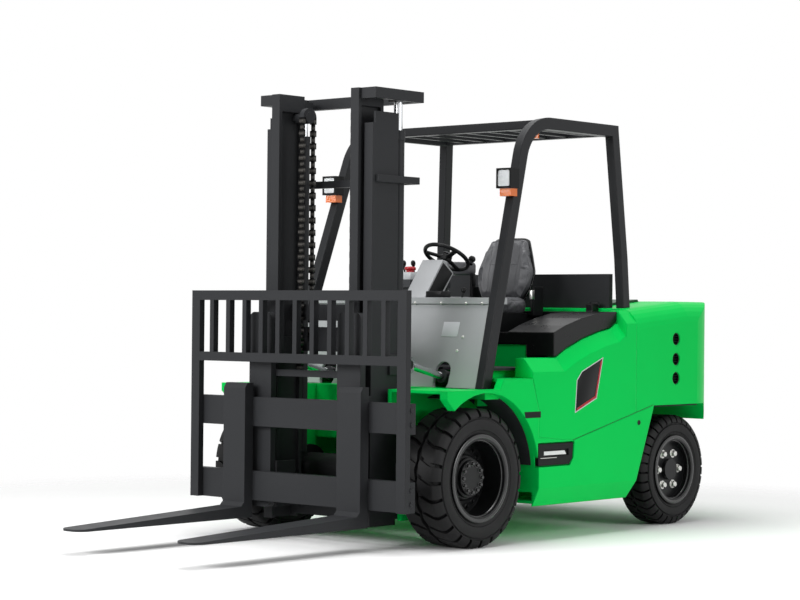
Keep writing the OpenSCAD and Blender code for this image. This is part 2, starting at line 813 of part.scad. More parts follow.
module front_rim() {
    edge = front_half - bead_in;
    color("dimgray") turned(front_wheel_x, 0, front_axle_z) {
        // barrel and flanges
        translate([front_rim_r - 12, -edge - flange_t]) square([12, 2 * edge + 2 * flange_t]);
        for (a = [-edge - flange_t, edge]) translate([front_rim_r - 12, a]) square([12 + flange_h, flange_t]);
        // dished disc
        translate([drive_spindle_r + pin_gap, -40])
            square([front_rim_r - 12 - drive_spindle_r - pin_gap, 26]);
        // hub and its cap
        translate([drive_spindle_r + pin_gap, -126]) square([118 - drive_spindle_r, 186]);
        translate([0, 40]) square([105, 44]);
    }
    color("silver") for (i = [0 : 11]) translate([front_wheel_x + 84, 0, front_axle_z])
        rotate([i * 30, 0, 0]) translate([-1, 85, 0]) rotate([0, 90, 0]) cylinder(h = 15, r = 10, $fn = 6);
}

module rear_tyre() {
    color("black") turned(rear_wheel_x, wheelbase, rear_axle_z)
        tyre_outline(rear_tyre_r, rear_rim_r + skin_gap, rear_half, flange_h + 2);
}

module rear_rim() {
    edge = rear_half - bead_in;
    color("dimgray") turned(rear_wheel_x, wheelbase, rear_axle_z) {
        translate([rear_rim_r - 10, -edge - flange_t]) square([10, 2 * edge + 2 * flange_t]);
        for (a = [-edge - flange_t, edge]) translate([rear_rim_r - 10, a]) square([10 + flange_h, flange_t]);
        translate([steer_spindle_r + pin_gap, 30]) square([rear_rim_r - 10 - steer_spindle_r - pin_gap, 24]);
        translate([steer_spindle_r + pin_gap, -40]) square([78 - steer_spindle_r, 94]);
        translate([0, 60]) square([70, 24]);
        translate([steer_spindle_r + pin_gap, 50]) square([70 - steer_spindle_r, 20]);
    }
    color("silver") for (i = [0 : nut_count - 1]) translate([rear_wheel_x + 54, wheelbase, rear_axle_z])
        rotate([i * 360 / nut_count, 0, 0]) translate([-1, 118, 0])
            rotate([0, 90, 0]) cylinder(h = 26, r = 17, $fn = 6);
}

module hood_outline() {
    polygon(concat([[hood_front_y, hood_skirt_z]], hood_top(0), [[hood_tail_y, hood_edge(0)[5][1] + 10]],
        [for (i = [5 : -1 : 0]) hood_edge(0)[i]]));
}

module hood_core_outline() {
    polygon(concat([[hood_front_y + hood_t, 900], [hood_front_y + hood_t, hood_deck_z + 3 - hood_t]],
        [for (i = [1 : 4]) hood_top(hood_t)[i]], [[hood_tail_y - hood_t, hood_deck_z + 136 - hood_t],
        [hood_tail_y - hood_t, 900]]));
}

module battery_hood() {
    color("black") {
        difference() {
            union() {
                along_x(-hood_half, hood_half) hood_outline();
                // tail between the covers, back to the hinge
                box([-cover_in_x + hood_gap, hood_tail_y - 40, hood_deck_z + 136 - hood_t],
                    [cover_in_x - hood_gap, hood_rear_y, hood_deck_z + 136]);
            }
            difference() {
                along_x(-hood_half + hood_t, hood_half - hood_t) hood_core_outline();
                // deck under the seat
                box([-520, hood_front_y, hood_deck_z - hood_t], [520, 1400, 1500]);
            }
            // seat well
            box([-500, hood_front_y - 1, hood_deck_z], [500, 1380, 1500]);
            hood_recess();
            // lower middle of the front skirt
            box([-skirt_half, hood_front_y - 1, 900],
                [skirt_half, hood_front_y + hood_t + 1, hood_deck_z - 76]);
        }
        // hinge knuckles
        pair() difference() {
            union() {
                rod_x(582, 634, hinge_y, hinge_z, 15);
                box([582, hood_rear_y - 60, hood_deck_z + 130], [634, hinge_y, hinge_z + 6]);
            }
            rod_x(580, 640, hinge_y, hinge_z, 8 + pin_gap);
        }
    }
}

module seat_base() {
    color("dimgray") translate([seat_x, 0, 0]) {
        box([-210, 900, hood_deck_z], [210, 1320, seat_top_z - 112]);
        pair() box([seat_w / 2 + skin_gap, 1270, seat_top_z - 130], [seat_w / 2 + 16, 1370, seat_top_z + 60]);
        box([-seat_w / 2 - 16, 1270, seat_top_z - 130], [seat_w / 2 + 16, 1320, seat_top_z - 112]);
    }
}

module seat_cushion() {
    color("black") along_x(seat_x - seat_w / 2, seat_x + seat_w / 2)
        round_rect([860, seat_top_z - 112 + skin_gap], [1300, seat_top_z], 40);
}

module seat_back() {
    color("black") translate([seat_x, 1310, seat_top_z - 60]) rotate([-seat_slope, 0, 0])
        along_x(-seat_w / 2, seat_w / 2) round_rect([0, 0], [95, seat_back_h], 40);
}

module steering_wheel() {
    color("black") at_column() {
        // shaft in the column tube
        translate([0, 0, -steer_shaft_l]) cylinder(h = steer_shaft_l - 10, r = steer_shaft_r);
        rotate_extrude() translate([steer_wheel_r - steer_rim_r, 0]) circle(steer_rim_r, $fn = 24);
        translate([0, 0, -34]) cylinder(h = 40, r = 36);
        for (i = [0, 120, 240]) rotate(i + 90)
            translate([20, -14, -12]) cube([steer_wheel_r - 2 * steer_rim_r - 18, 28, 12]);
    }
}

module outer_upright() {
    difference() {
        box([inner_half + 10, outer_front_y, mast_low_z], [outer_half, outer_back_y, outer_top_z]);
        box([inner_half + 9, outer_front_y + upright_t, mast_low_z - 1],
            [outer_half - 16, outer_back_y - upright_t, outer_top_z + 1]);
        // front flange cut back at the top
        box([inner_half + 9, outer_front_y - 1, outer_top_z - 70],
            [outer_half + 1, outer_front_y + upright_t, outer_top_z + 1]);
    }
}

module outer_mast() {
    color("dimgray") {
        difference() {
            union() {
                pair() {
                    outer_upright();
                    // foot with the pivot eye
                    rod_x(outer_half - 44, outer_half, mast_pivot_y, mast_pivot_z, 75);
                    box([outer_half - 44, outer_back_y - upright_t, mast_pivot_z - 75],
                        [outer_half, mast_pivot_y, mast_pivot_z + 75]);
                    // shelf of the lift cylinder
                    box([inner_half + 10, outer_back_y - upright_t, lift_base_z - 30],
                        [outer_half, lift_y + lift_barrel_r, lift_base_z]);
                    // lug and pin of the tilt cylinder
                    box([outer_half, outer_back_y - 80, tilt_eye_z - 60],
                        [tilt_x - tilt_eye_w / 2 - 5, tilt_eye_y + 28, tilt_eye_z + 60]);
                    rod_x(outer_half, tilt_x + tilt_eye_w / 2 + 12, tilt_eye_y, tilt_eye_z, tilt_pin_r + 3);
                    // arm of the upper tie
                    box([outer_half, outer_front_y + 30, upper_tie_z],
                        [outer_half + 22, -38, upper_tie_z + upper_tie_h]);
                    // chain anchor
                    box([chain_x - 25, tie_y - 42, mid_tie_z + 60], [chain_x + 25, tie_y, mid_tie_z + 100]);
                }
                box([-inner_half - 20, tie_y, mast_low_z + 20],
                    [inner_half + 20, tie_y + 60, mast_low_z + 200]);
                box([-outer_half + 1, tie_y, mid_tie_z],
                    [outer_half - 1, tie_y + tie_t, mid_tie_z + mid_tie_h]);
                box([-outer_half - 22, -80, upper_tie_z], [outer_half + 22, -38, upper_tie_z + upper_tie_h]);
            }
            pair() rod_x(outer_half - 60, outer_half + 1, mast_pivot_y, mast_pivot_z, mast_pin_r + pin_gap);
        }
    }
}

module lift_barrels() {
    color("dimgray") pair() translate([lift_x, lift_y, lift_base_z]) difference() {
        union() {
            cylinder(h = lift_barrel_top - lift_base_z, r = lift_barrel_r);
            translate([0, 0, lift_barrel_top - lift_base_z - 60]) cylinder(h = 60, r = lift_barrel_r + 4);
        }
        translate([0, 0, 40]) cylinder(h = 3000, r = lift_rod_r + pin_gap);
    }
}

module inner_upright() {
    difference() {
        box([inner_half - inner_w, inner_front_y, inner_low_z], [inner_half, inner_back_y, inner_top_z]);
        for (x = [inner_half - inner_w - 1, inner_half - 24])
            box([x, inner_front_y + upright_t, inner_low_z - 1],
                [x + 25, inner_back_y - upright_t, top_tie_z - 40]);
    }
}

module inner_mast() {
    color("dimgray") {
        pair() {
            inner_upright();
            // top tie wrapped round behind the outer mast
            box([inner_half - inner_w, inner_front_y + 20, top_tie_z],
                [top_tie_x, inner_front_y + 80, inner_top_z]);
            box([outer_half, inner_front_y + 20, top_tie_z], [top_tie_x, -27, inner_top_z]);
            box([inner_half - 10, lift_y - 40, top_tie_z], [outer_half, lift_y + 40, top_tie_z + 40]);
            // sheave and its pin
            rod_x(chain_x - chain_w / 2 - 6, chain_x + chain_w / 2 + 6, sheave_y, sheave_z,
                sheave_r - chain_t / 2 - skin_gap);
            rod_x(chain_x, inner_half - inner_w + 20, sheave_y, sheave_z, 30);
            // chain over the sheave
            along_x(chain_x - chain_w / 2, chain_x + chain_w / 2)
                translate([sheave_y, sheave_z]) intersection() {
                circle(sheave_r + chain_t / 2);
                translate([-200, 0]) square([400, 200]);
            }
        }
        box([-top_tie_x, -80, top_tie_z], [top_tie_x, -27, inner_top_z]);
        for (z = [inner_low_z + 40, 1340])
            box([-inner_half + inner_w - 25, inner_back_y - 75, z],
                [inner_half - inner_w + 25, inner_back_y - 45, z + 100]);
    }
}

module lift_rods() {
    color("silver") pair() translate([lift_x, lift_y, lift_base_z + 140])
        cylinder(h = top_tie_z - lift_base_z - 140, r = lift_rod_r);
}

// strand of leaf chain hanging at y: full links with slimmer ones between them
module chain_strand(y, low, high) {
    count = round((high - low) / chain_pitch);
    pitch = (high - low) / count;
    color("gray") pair() {
        for (i = [0 : count - 1]) {
            in = i % 2 == 0 ? 0 : link_step;
            lap = i > 0 && i % 2 == 1 ? 1 : 0;
            box([chain_x - chain_w / 2 + in, y - chain_t / 2 + in / 2, low + i * pitch - lap],
                [chain_x + chain_w / 2 - in, y + chain_t / 2 - in / 2,
                    min(high, low + (i + 1) * pitch + lap)]);
        }
    }
}

module chain_back() {
    chain_strand(sheave_y + sheave_r, mid_tie_z + 100, sheave_z);
}

module chain_front() {
    chain_strand(sheave_y - sheave_r, carriage_tie_z, sheave_z - 1);
}

module carriage() {
    color("dimgray") {
        for (z = [carriage_low_z, upper_bar_z])
            box([-880, bar_front_y, z], [880, bar_back_y, z + bar_h]);
        pair() {
            // upright plate with rounded top, let into the bars
            translate([0, bar_back_y + plate_t, 0]) rotate([90, 0, 0]) linear_extrude(plate_t + plate_in)
                round_rect([275, carriage_low_z - 40], [462, 1390], 40);
            for (z = [330, 1090]) {
                box([262, bar_back_y + plate_t - 1, z], [285, inner_front_y + 131, z + 150]);
                rod_x(280, inner_half - inner_w / 2 - 12, inner_front_y + 81, z + 75, 50);
            }
        }
        // tie with the chain anchors
        box([-285, bar_back_y + plate_t - 1, carriage_tie_z - 40], [285, inner_front_y + 31, carriage_tie_z]);
        pair() box([chain_x - 25, inner_front_y + 30, carriage_tie_z - 40],
            [chain_x + 25, sheave_y - sheave_r + chain_t / 2, carriage_tie_z]);
    }
}

module load_guard() {
    y0 = bar_front_y - 41;
    mid_z = 1085;
    color("dimgray") {
        pair() box([backrest_half - 70, y0, carriage_low_z], [backrest_half, bar_front_y, backrest_top_z]);
        box([-backrest_half, y0, backrest_top_z - 60], [backrest_half, bar_front_y, backrest_top_z]);
        box([-backrest_half, y0, mid_z], [backrest_half, bar_front_y, mid_z + 55]);
        for (i = [1 : slot_bars]) {
            x = -backrest_half + 35 + (2 * backrest_half - 70) * i / (slot_bars + 1);
            box([x - 17, y0, mid_z], [x + 17, bar_front_y, backrest_top_z - 30]);
        }
    }
}

module fork() {
    intersection() {
        along_x(fork_x - fork_w / 2, fork_x + fork_w / 2) polygon([[bar_front_y, fork_z],
            [bar_front_y, fork_top_z], [fork_front_y + 20, fork_top_z], [fork_front_y, fork_top_z - 30],
            [fork_front_y, fork_z + fork_t + 25], [fork_front_y - 25, fork_z + fork_t],
            [tip_y, fork_z + fork_tip_t], [tip_y, fork_z]]);
        linear_extrude(3000) union() {
            round_rect([fork_x - fork_w / 2, tip_y], [fork_x + fork_w / 2, bar_front_y - 100], 70);
            translate([fork_x - fork_w / 2, tip_y + 200]) square([fork_w, 3000]);
        }
    }
    // hook on the upper bar
    box([fork_x - fork_w / 2 + 20, bar_front_y - 1, upper_bar_z + bar_h],
        [fork_x + fork_w / 2 - 20, bar_back_y - plate_in - 2, upper_bar_z + bar_h + 34]);
}

module forks() {
    color("dimgray") pair() fork();
}

// place of a tilt cylinder, its axis along +Z from the barrel pin
module tilt_line() {
    translate([tilt_x, tilt_base_y, tilt_base_z]) rotate([90 - tilt_angle, 0, 0]) children();
}

module tilt_barrel() {
    color("dimgray") tilt_line() difference() {
        union() {
            translate([-tilt_eye_w / 2, 0, 0]) rotate([0, 90, 0]) cylinder(h = tilt_eye_w, r = 40);
            translate([-tilt_eye_w / 2, -30, 20]) cube([tilt_eye_w, 60, 50]);
            translate([0, 0, 64]) cylinder(h = tilt_barrel_l - 64, r = tilt_barrel_r);
        }
        translate([-50, 0, 0]) rotate([0, 90, 0]) cylinder(h = 100, r = tilt_pin_r + pin_gap);
        translate([0, 0, 84]) cylinder(h = 900, r = tilt_rod_r + pin_gap);
    }
}

module tilt_rod() {
    color("silver") tilt_line() difference() {
        union() {
            translate([0, 0, 240]) cylinder(h = tilt_len - 240 - 40, r = tilt_rod_r);
            translate([-tilt_eye_w / 2, 0, tilt_len]) rotate([0, 90, 0]) cylinder(h = tilt_eye_w, r = 54);
        }
        translate([-50, 0, tilt_len]) rotate([0, 90, 0]) cylinder(h = 100, r = tilt_pin_r + 3 + eye_gap);
    }
}

module at_datum() {
    translate([0, -datum_y, 0]) children();
}

module right() {
    mirror([1, 0, 0]) children();
}

at_datum() frame();
at_datum() side_covers();
at_datum() counterweight();
at_datum() top_cover();
at_datum() battery();
at_datum() floor_plate();
at_datum() front_cowl();
at_datum() dashboard();
at_datum() side_console();
at_datum() overhead_guard();
at_datum() rear_panel();
at_datum() headlamps();
at_datum() lamp_lenses();
at_datum() indicators();
at_datum() step_lamps();
at_datum() drive_axle();
at_datum() steer_axle();
at_datum() battery_hood();
at_datum() seat_base();
at_datum() seat_cushion();
at_datum() seat_back();
at_datum() steering_wheel();
at_datum() outer_mast();
at_datum() lift_barrels();
at_datum() inner_mast();
at_datum() lift_rods();
at_datum() chain_back();
at_datum() chain_front();
at_datum() carriage();
at_datum() load_guard();
at_datum() forks();
at_datum() tilt_barrel();  // tilt_barrel_left
at_datum() tilt_rod();  // tilt_rod_left
at_datum() right() tilt_barrel();  // tilt_barrel_right
at_datum() right() tilt_rod();  // tilt_rod_right
at_datum() front_tyre();  // front_tyre_left
at_datum() front_rim();  // front_rim_left
at_datum() right() front_tyre();  // front_tyre_right
at_datum() right() front_rim();  // front_rim_right
at_datum() knuckle();  // knuckle_left
at_datum() rear_tyre();  // rear_tyre_left
at_datum() rear_rim();  // rear_rim_left
at_datum() right() knuckle();  // knuckle_right
at_datum() right() rear_tyre();  // rear_tyre_right
at_datum() right() rear_rim();  // rear_rim_right
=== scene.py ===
# %% [markdown]
# # Dressing a fork-lift truck
#
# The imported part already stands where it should, in metres, with the forks pointing along -Y and the
# driver's left along +X. This lesson leaves every solid where it is and gives it the finish of the real
# machine: sprayed enamel, satin mast paint, rubber, moulded plastic, chromed rods and a vinyl seat.
# Pieces that are too fine for the solids, such as tread, bolts and seams, are built here.

import math

import bmesh
import bpy
from mathutils import Matrix, Vector
from mathutils.bvhtree import BVHTree


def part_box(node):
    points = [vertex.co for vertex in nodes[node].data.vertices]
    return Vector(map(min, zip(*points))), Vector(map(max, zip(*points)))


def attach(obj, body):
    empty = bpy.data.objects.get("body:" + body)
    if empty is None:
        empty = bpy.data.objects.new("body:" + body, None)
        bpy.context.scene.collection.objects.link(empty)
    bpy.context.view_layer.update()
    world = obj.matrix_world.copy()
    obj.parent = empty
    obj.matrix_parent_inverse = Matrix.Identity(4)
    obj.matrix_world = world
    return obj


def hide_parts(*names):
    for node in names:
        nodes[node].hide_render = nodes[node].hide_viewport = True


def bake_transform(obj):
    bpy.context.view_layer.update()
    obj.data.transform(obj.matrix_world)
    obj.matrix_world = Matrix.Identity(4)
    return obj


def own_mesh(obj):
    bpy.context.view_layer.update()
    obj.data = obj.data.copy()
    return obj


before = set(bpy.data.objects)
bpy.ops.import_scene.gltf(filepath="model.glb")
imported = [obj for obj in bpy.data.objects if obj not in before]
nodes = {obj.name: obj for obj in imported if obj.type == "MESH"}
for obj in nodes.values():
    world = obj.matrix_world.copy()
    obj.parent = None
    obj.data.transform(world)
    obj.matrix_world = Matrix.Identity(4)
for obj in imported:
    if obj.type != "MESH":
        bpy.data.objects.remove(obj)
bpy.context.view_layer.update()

# %% [markdown]
# ## One measuring point
#
# A truck is drawn from the middle of its drive axle, so places below are given in millimetres from there:
# to the driver's left, to the rear, and up from the floor. The axle's place is read from the front tyre.

# %% Places from the drive axle
MM = 0.001
SIDES = {"left": 1, "right": -1}
tyre_low, tyre_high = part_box("front_tyre_left")
axle_y = (tyre_low.y + tyre_high.y) / 2


def at(left, back, up):
    """A point given in millimetres from the floor under the drive axle, in the frame's metres."""
    return Vector((left * MM, axle_y + back * MM, up * MM))


print("drive axle at y", round(axle_y, 4))

# %% [markdown]
# ## Colours and nodes
#
# Paint charts give colours as sRGB hex values, and shaders want linear light, so one function converts
# them. A second small function adds any shader node: settings are its properties, and the named inputs are
# either values or the outputs of other nodes. Every finish below is made with these two.


# %% Helpers for finishes
def srgb(hex_code):
    """A hex colour as linear red, green, blue and alpha."""
    parts = [int(hex_code[i : i + 2], 16) / 255 for i in (1, 3, 5)]
    return [c / 12.92 if c <= 0.04045 else ((c + 0.055) / 1.055) ** 2.4 for c in parts] + [1]


def new_finish(name):
    """An empty material, ready for nodes."""
    finish = bpy.data.materials.new(name)
    finish.use_nodes = True
    finish.node_tree.nodes.clear()
    return finish


def add(finish, kind, settings=None, **inputs):
    """Adds one node, sets its properties, and fills its inputs with values or with other nodes' outputs."""
    made = finish.node_tree.nodes.new(kind)
    for name, value in (settings or {}).items():
        setattr(made, name, value)
    for name, value in inputs.items():
        socket = made.inputs[name.replace("_", " ")]
        if isinstance(value, bpy.types.NodeSocket):
            finish.node_tree.links.new(value, socket)
        else:
            socket.default_value = value
    return made


def grain(size_mm):
    """The scale at which a noise texture has features of this size."""
    return 1000 / size_mm


# %% [markdown]
# ## Sprayed enamel
#
# Body panels and castings are steel and iron sprayed with gloss or satin enamel. It flows to a faint orange
# peel, drawn nine millimetres wide so that it can show, and its colour drifts slightly over a panel. Folded
# and cast edges are never sharp, so the shading normal is rounded over a few millimetres at every edge, which
# is where paint catches the light.

# %% Enamel finishes
EDGE_SAMPLES = 6


def sprayed_enamel(name, colour, shade, rough, coat=0.0, edge_mm=5, peel_mm=9, shine=0.5):
    """Paint between two near shades, with an orange peel and softened edges."""
    finish = new_finish(name)
    place = add(finish, "ShaderNodeTexCoord").outputs["Object"]
    drift = add(finish, "ShaderNodeTexNoise", Vector=place, Scale=grain(600), Detail=3)
    tone = add(
        finish, "ShaderNodeMixRGB", Fac=drift.outputs["Fac"], Color1=srgb(colour), Color2=srgb(shade)
    )
    scuff = add(finish, "ShaderNodeTexNoise", Vector=place, Scale=grain(90), Detail=6)
    haze = add(finish, "ShaderNodeMapRange", Value=scuff.outputs["Fac"])
    haze.inputs["To Min"].default_value = rough - 0.06
    haze.inputs["To Max"].default_value = rough + 0.08
    peel = add(finish, "ShaderNodeTexNoise", Vector=place, Scale=grain(peel_mm), Detail=1)
    edge = add(finish, "ShaderNodeBevel", {"samples": EDGE_SAMPLES}, Radius=edge_mm * MM)
    ripple = add(
        finish,
        "ShaderNodeBump",
        Strength=0.05,
        Distance=1 * MM,
        Height=peel.outputs["Fac"],
        Normal=edge.outputs["Normal"],
    )
    paint = add(
        finish,
        "ShaderNodeBsdfPrincipled",
        Base_Color=tone.outputs["Color"],
        Roughness=haze.outputs["Result"],
        Specular_IOR_Level=shine,
        Coat_Weight=coat,
        Coat_Roughness=0.12,
        Normal=ripple.outputs["Normal"],
    )
    add(finish, "ShaderNodeOutputMaterial", Surface=paint.outputs["BSDF"])
    return finish


green_enamel = sprayed_enamel("green_enamel", "#00d058", "#00c651", 0.36, shine=0.06, edge_mm=12)
dark_green_enamel = sprayed_enamel("dark_green_enamel", "#0b3d22", "#093319", 0.4, shine=0.2)
mast_enamel = sprayed_enamel("satin_mast_enamel", "#2f3032", "#292a2c", 0.45, edge_mm=4, shine=0.12)
guard_enamel = sprayed_enamel("satin_guard_enamel", "#232426", "#1d1e20", 0.34, edge_mm=14, shine=0.16)
hood_enamel = sprayed_enamel("black_hood_enamel", "#101112", "#0c0d0e", 0.28, edge_mm=14, shine=0.22)
rim_enamel = sprayed_enamel("black_rim_enamel", "#141516", "#0f1011", 0.34, edge_mm=3, shine=0.25)
ring_enamel = sprayed_enamel("gloss_ring_enamel", "#141516", "#101112", 0.22, coat=0.3, edge_mm=1)
axle_enamel = sprayed_enamel("chassis_enamel", "#1d1e1f", "#161718", 0.55, edge_mm=4, shine=0.2)
print("enamels made")

# %% [markdown]
# ## Moulded plastic
#
# The cowl and the dashboard are injection-moulded ABS. The mould is etched with a fine leather-like texture
# so that it does not glare in the driver's eyes: close up it is a field of small rounded cells, and from a
# step away it is an even satin grey. The cells are drawn three millimetres across or more, so that they can
# show.


# %% Plastic finishes
def moulded_abs(name, colour, shade, rough, cell_mm=3, edge_mm=6, shine=0.5):
    """Plastic between two near shades, with etched cells and softened edges."""
    finish = new_finish(name)
    place = add(finish, "ShaderNodeTexCoord").outputs["Object"]
    drift = add(finish, "ShaderNodeTexNoise", Vector=place, Scale=grain(250), Detail=4)
    tone = add(
        finish, "ShaderNodeMixRGB", Fac=drift.outputs["Fac"], Color1=srgb(colour), Color2=srgb(shade)
    )
    cells = add(finish, "ShaderNodeTexVoronoi", Vector=place, Scale=grain(cell_mm))
    edge = add(finish, "ShaderNodeBevel", {"samples": EDGE_SAMPLES}, Radius=edge_mm * MM)
    etch = add(
        finish,
        "ShaderNodeBump",
        Strength=0.12,
        Distance=0.6 * MM,
        Height=cells.outputs["Distance"],
        Normal=edge.outputs["Normal"],
    )
    plastic = add(
        finish,
        "ShaderNodeBsdfPrincipled",
        Base_Color=tone.outputs["Color"],
        Roughness=rough,
        IOR=1.53,
        Specular_IOR_Level=shine,
        Normal=etch.outputs["Normal"],
    )
    add(finish, "ShaderNodeOutputMaterial", Surface=plastic.outputs["BSDF"])
    return finish


cowl_abs = moulded_abs("grey_cowl_abs", "#a3a5a7", "#97999b", 0.42, shine=0.3)
dash_abs = moulded_abs("dark_dash_abs", "#3a3c3f", "#323437", 0.45, shine=0.3)
black_abs = moulded_abs("black_abs", "#131415", "#0e0f10", 0.38, shine=0.12)
red_abs = moulded_abs("red_switch_abs", "#b5121e", "#990f18", 0.3, cell_mm=6, shine=0.3)
pale_abs = moulded_abs("pale_plate_abs", "#c9cccf", "#bfc2c5", 0.4, edge_mm=1)
shell_abs = moulded_abs("gloss_shell_abs", "#151617", "#101112", 0.2, cell_mm=8)
print("plastics made")

# %% [markdown]
# ## Rubber
#
# Solid tyres are black rubber filled with carbon. New rubber is dark and dull, with a little bloom: a pale
# greyish haze in patches. The mould leaves a faint grain, drawn coarse enough to show.


# %% Rubber finish
def black_rubber(name, colour, bloom, rough, grit_mm=4):
    """Rubber with patches of bloom and a moulded grain."""
    finish = new_finish(name)
    place = add(finish, "ShaderNodeTexCoord").outputs["Object"]
    patches = add(finish, "ShaderNodeTexNoise", Vector=place, Scale=grain(140), Detail=5)
    haze = add(finish, "ShaderNodeMapRange", Value=patches.outputs["Fac"])
    haze.inputs["From Min"].default_value = 0.4
    haze.inputs["From Max"].default_value = 0.75
    tone = add(
        finish, "ShaderNodeMixRGB", Fac=haze.outputs["Result"], Color1=srgb(colour), Color2=srgb(bloom)
    )
    grit = add(finish, "ShaderNodeTexNoise", Vector=place, Scale=grain(grit_mm), Detail=3)
    skin = add(
        finish, "ShaderNodeBump", Strength=0.15, Distance=0.8 * MM, Height=grit.outputs["Fac"]
    )
    rubber = add(
        finish,
        "ShaderNodeBsdfPrincipled",
        Base_Color=tone.outputs["Color"],
        Roughness=rough,
        IOR=1.52,
        Specular_IOR_Level=0.2,
        Normal=skin.outputs["Normal"],
    )
    add(finish, "ShaderNodeOutputMaterial", Surface=rubber.outputs["BSDF"])
    return finish


tyre_rubber = black_rubber("tyre_rubber", "#0c0c0d", "#171718", 0.55)
mat_rubber = black_rubber("floor_mat_rubber", "#26272a", "#303134", 0.7, grit_mm=9)
print("rubbers made")

# %% [markdown]
# ## Bare metal
#
# Cylinder rods are ground and hard-chromed, so they mirror their surroundings, a little blurred in small
# patches. Nuts and bolts are zinc plated: bright, more blurred and uneven. Leaf chain is oiled steel, and its
# overlapping link plates repeat every pitch, which the finish draws as a row of dark joints.


# %% Metal finishes
def plated_steel(name, colour, rough, patch_mm=6):
    """Bare plated metal whose gloss varies in small patches."""
    finish = new_finish(name)
    place = add(finish, "ShaderNodeTexCoord").outputs["Object"]
    patches = add(finish, "ShaderNodeTexNoise", Vector=place, Scale=grain(patch_mm), Detail=4)
    blur = add(finish, "ShaderNodeMapRange", Value=patches.outputs["Fac"])
    blur.inputs["To Min"].default_value = rough - 0.05
    blur.inputs["To Max"].default_value = rough + 0.12
    metal = add(
        finish,
        "ShaderNodeBsdfPrincipled",
        Base_Color=srgb(colour),
        Metallic=1.0,
        Roughness=blur.outputs["Result"],
    )
    add(finish, "ShaderNodeOutputMaterial", Surface=metal.outputs["BSDF"])
    return finish


WAVE_RATE = 20


def bands(width_mm):
    """The scale at which a wave texture, which runs at a fixed rate, repeats at this width."""
    return grain(width_mm) / WAVE_RATE * math.tau


def leaf_chain(name, pitch_mm):
    """Oiled steel with a dark joint at every pitch along the chain."""
    finish = new_finish(name)
    place = add(finish, "ShaderNodeTexCoord").outputs["Object"]
    joints = add(
        finish,
        "ShaderNodeTexWave",
        {"wave_type": "BANDS", "bands_direction": "Z", "wave_profile": "SIN"},
        Vector=place,
        Scale=bands(pitch_mm),
        Distortion=0.0,
    )
    plates = add(finish, "ShaderNodeValToRGB", Fac=joints.outputs["Fac"])
    plates.color_ramp.elements[0].position = 0.25
    plates.color_ramp.elements[0].color = srgb("#0d0d0d")
    plates.color_ramp.elements[1].position = 0.45
    plates.color_ramp.elements[1].color = srgb("#4a4845")
    step = add(
        finish, "ShaderNodeBump", Strength=0.9, Distance=6 * MM, Height=joints.outputs["Fac"]
    )
    steel = add(
        finish,
        "ShaderNodeBsdfPrincipled",
        Base_Color=plates.outputs["Color"],
        Metallic=0.8,
        Roughness=0.42,
        Normal=step.outputs["Normal"],
    )
    add(finish, "ShaderNodeOutputMaterial", Surface=steel.outputs["BSDF"])
    return finish


chromed_rod = plated_steel("chromed_rod", "#c9cbcd", 0.16)
zinc_plate = plated_steel("zinc_plated_bolt", "#d4d4d0", 0.26)
chain_steel = leaf_chain("oiled_leaf_chain", 38)
print("metals made")

# %% [markdown]
# ## Lenses
#
# Lamp lenses are clear, white or amber polycarbonate, moulded with small prisms behind the face. The prisms
# scatter the light, so an unlit lamp looks pale and slightly milky, not empty.

# %% Lens finishes
DEEPER = 0.75


def ribbed_lens(name, colour, rib_mm, clear):
    """Polycarbonate with ribs across it, clear or filled with colour."""
    finish = new_finish(name)
    place = add(finish, "ShaderNodeTexCoord").outputs["Object"]
    ribs = add(
        finish,
        "ShaderNodeTexWave",
        {"wave_type": "BANDS", "bands_direction": "X", "wave_profile": "SIN"},
        Vector=place,
        Scale=bands(rib_mm),
    )
    prisms = add(
        finish, "ShaderNodeBump", Strength=0.5, Distance=2 * MM, Height=ribs.outputs["Fac"]
    )
    depth = add(finish, "ShaderNodeTexNoise", Vector=place, Scale=grain(40), Detail=2)
    tone = add(finish, "ShaderNodeMixRGB", Fac=depth.outputs["Fac"], Color1=srgb(colour))
    tone.inputs["Color2"].default_value = [c * DEEPER for c in srgb(colour)[:3]] + [1]
    lens = add(
        finish,
        "ShaderNodeBsdfPrincipled",
        Base_Color=tone.outputs["Color"],
        Roughness=0.08,
        IOR=1.585,
        Transmission_Weight=clear,
        Normal=prisms.outputs["Normal"],
    )
    add(finish, "ShaderNodeOutputMaterial", Surface=lens.outputs["BSDF"])
    return finish


clear_lens = ribbed_lens("clear_lamp_lens", "#d9dde0", 9, 0.25)
amber_lens = ribbed_lens("amber_lamp_lens", "#ff7a00", 7, 0.15)
white_lens = ribbed_lens("white_marker_lens", "#f2f4f4", 8, 0.0)
print("lenses made")

# %% [markdown]
# ## Vinyl
#
# The seat is covered in black vinyl over foam. It has a pebbled leather grain, a soft gloss and slightly
# lighter patches where it is rubbed.


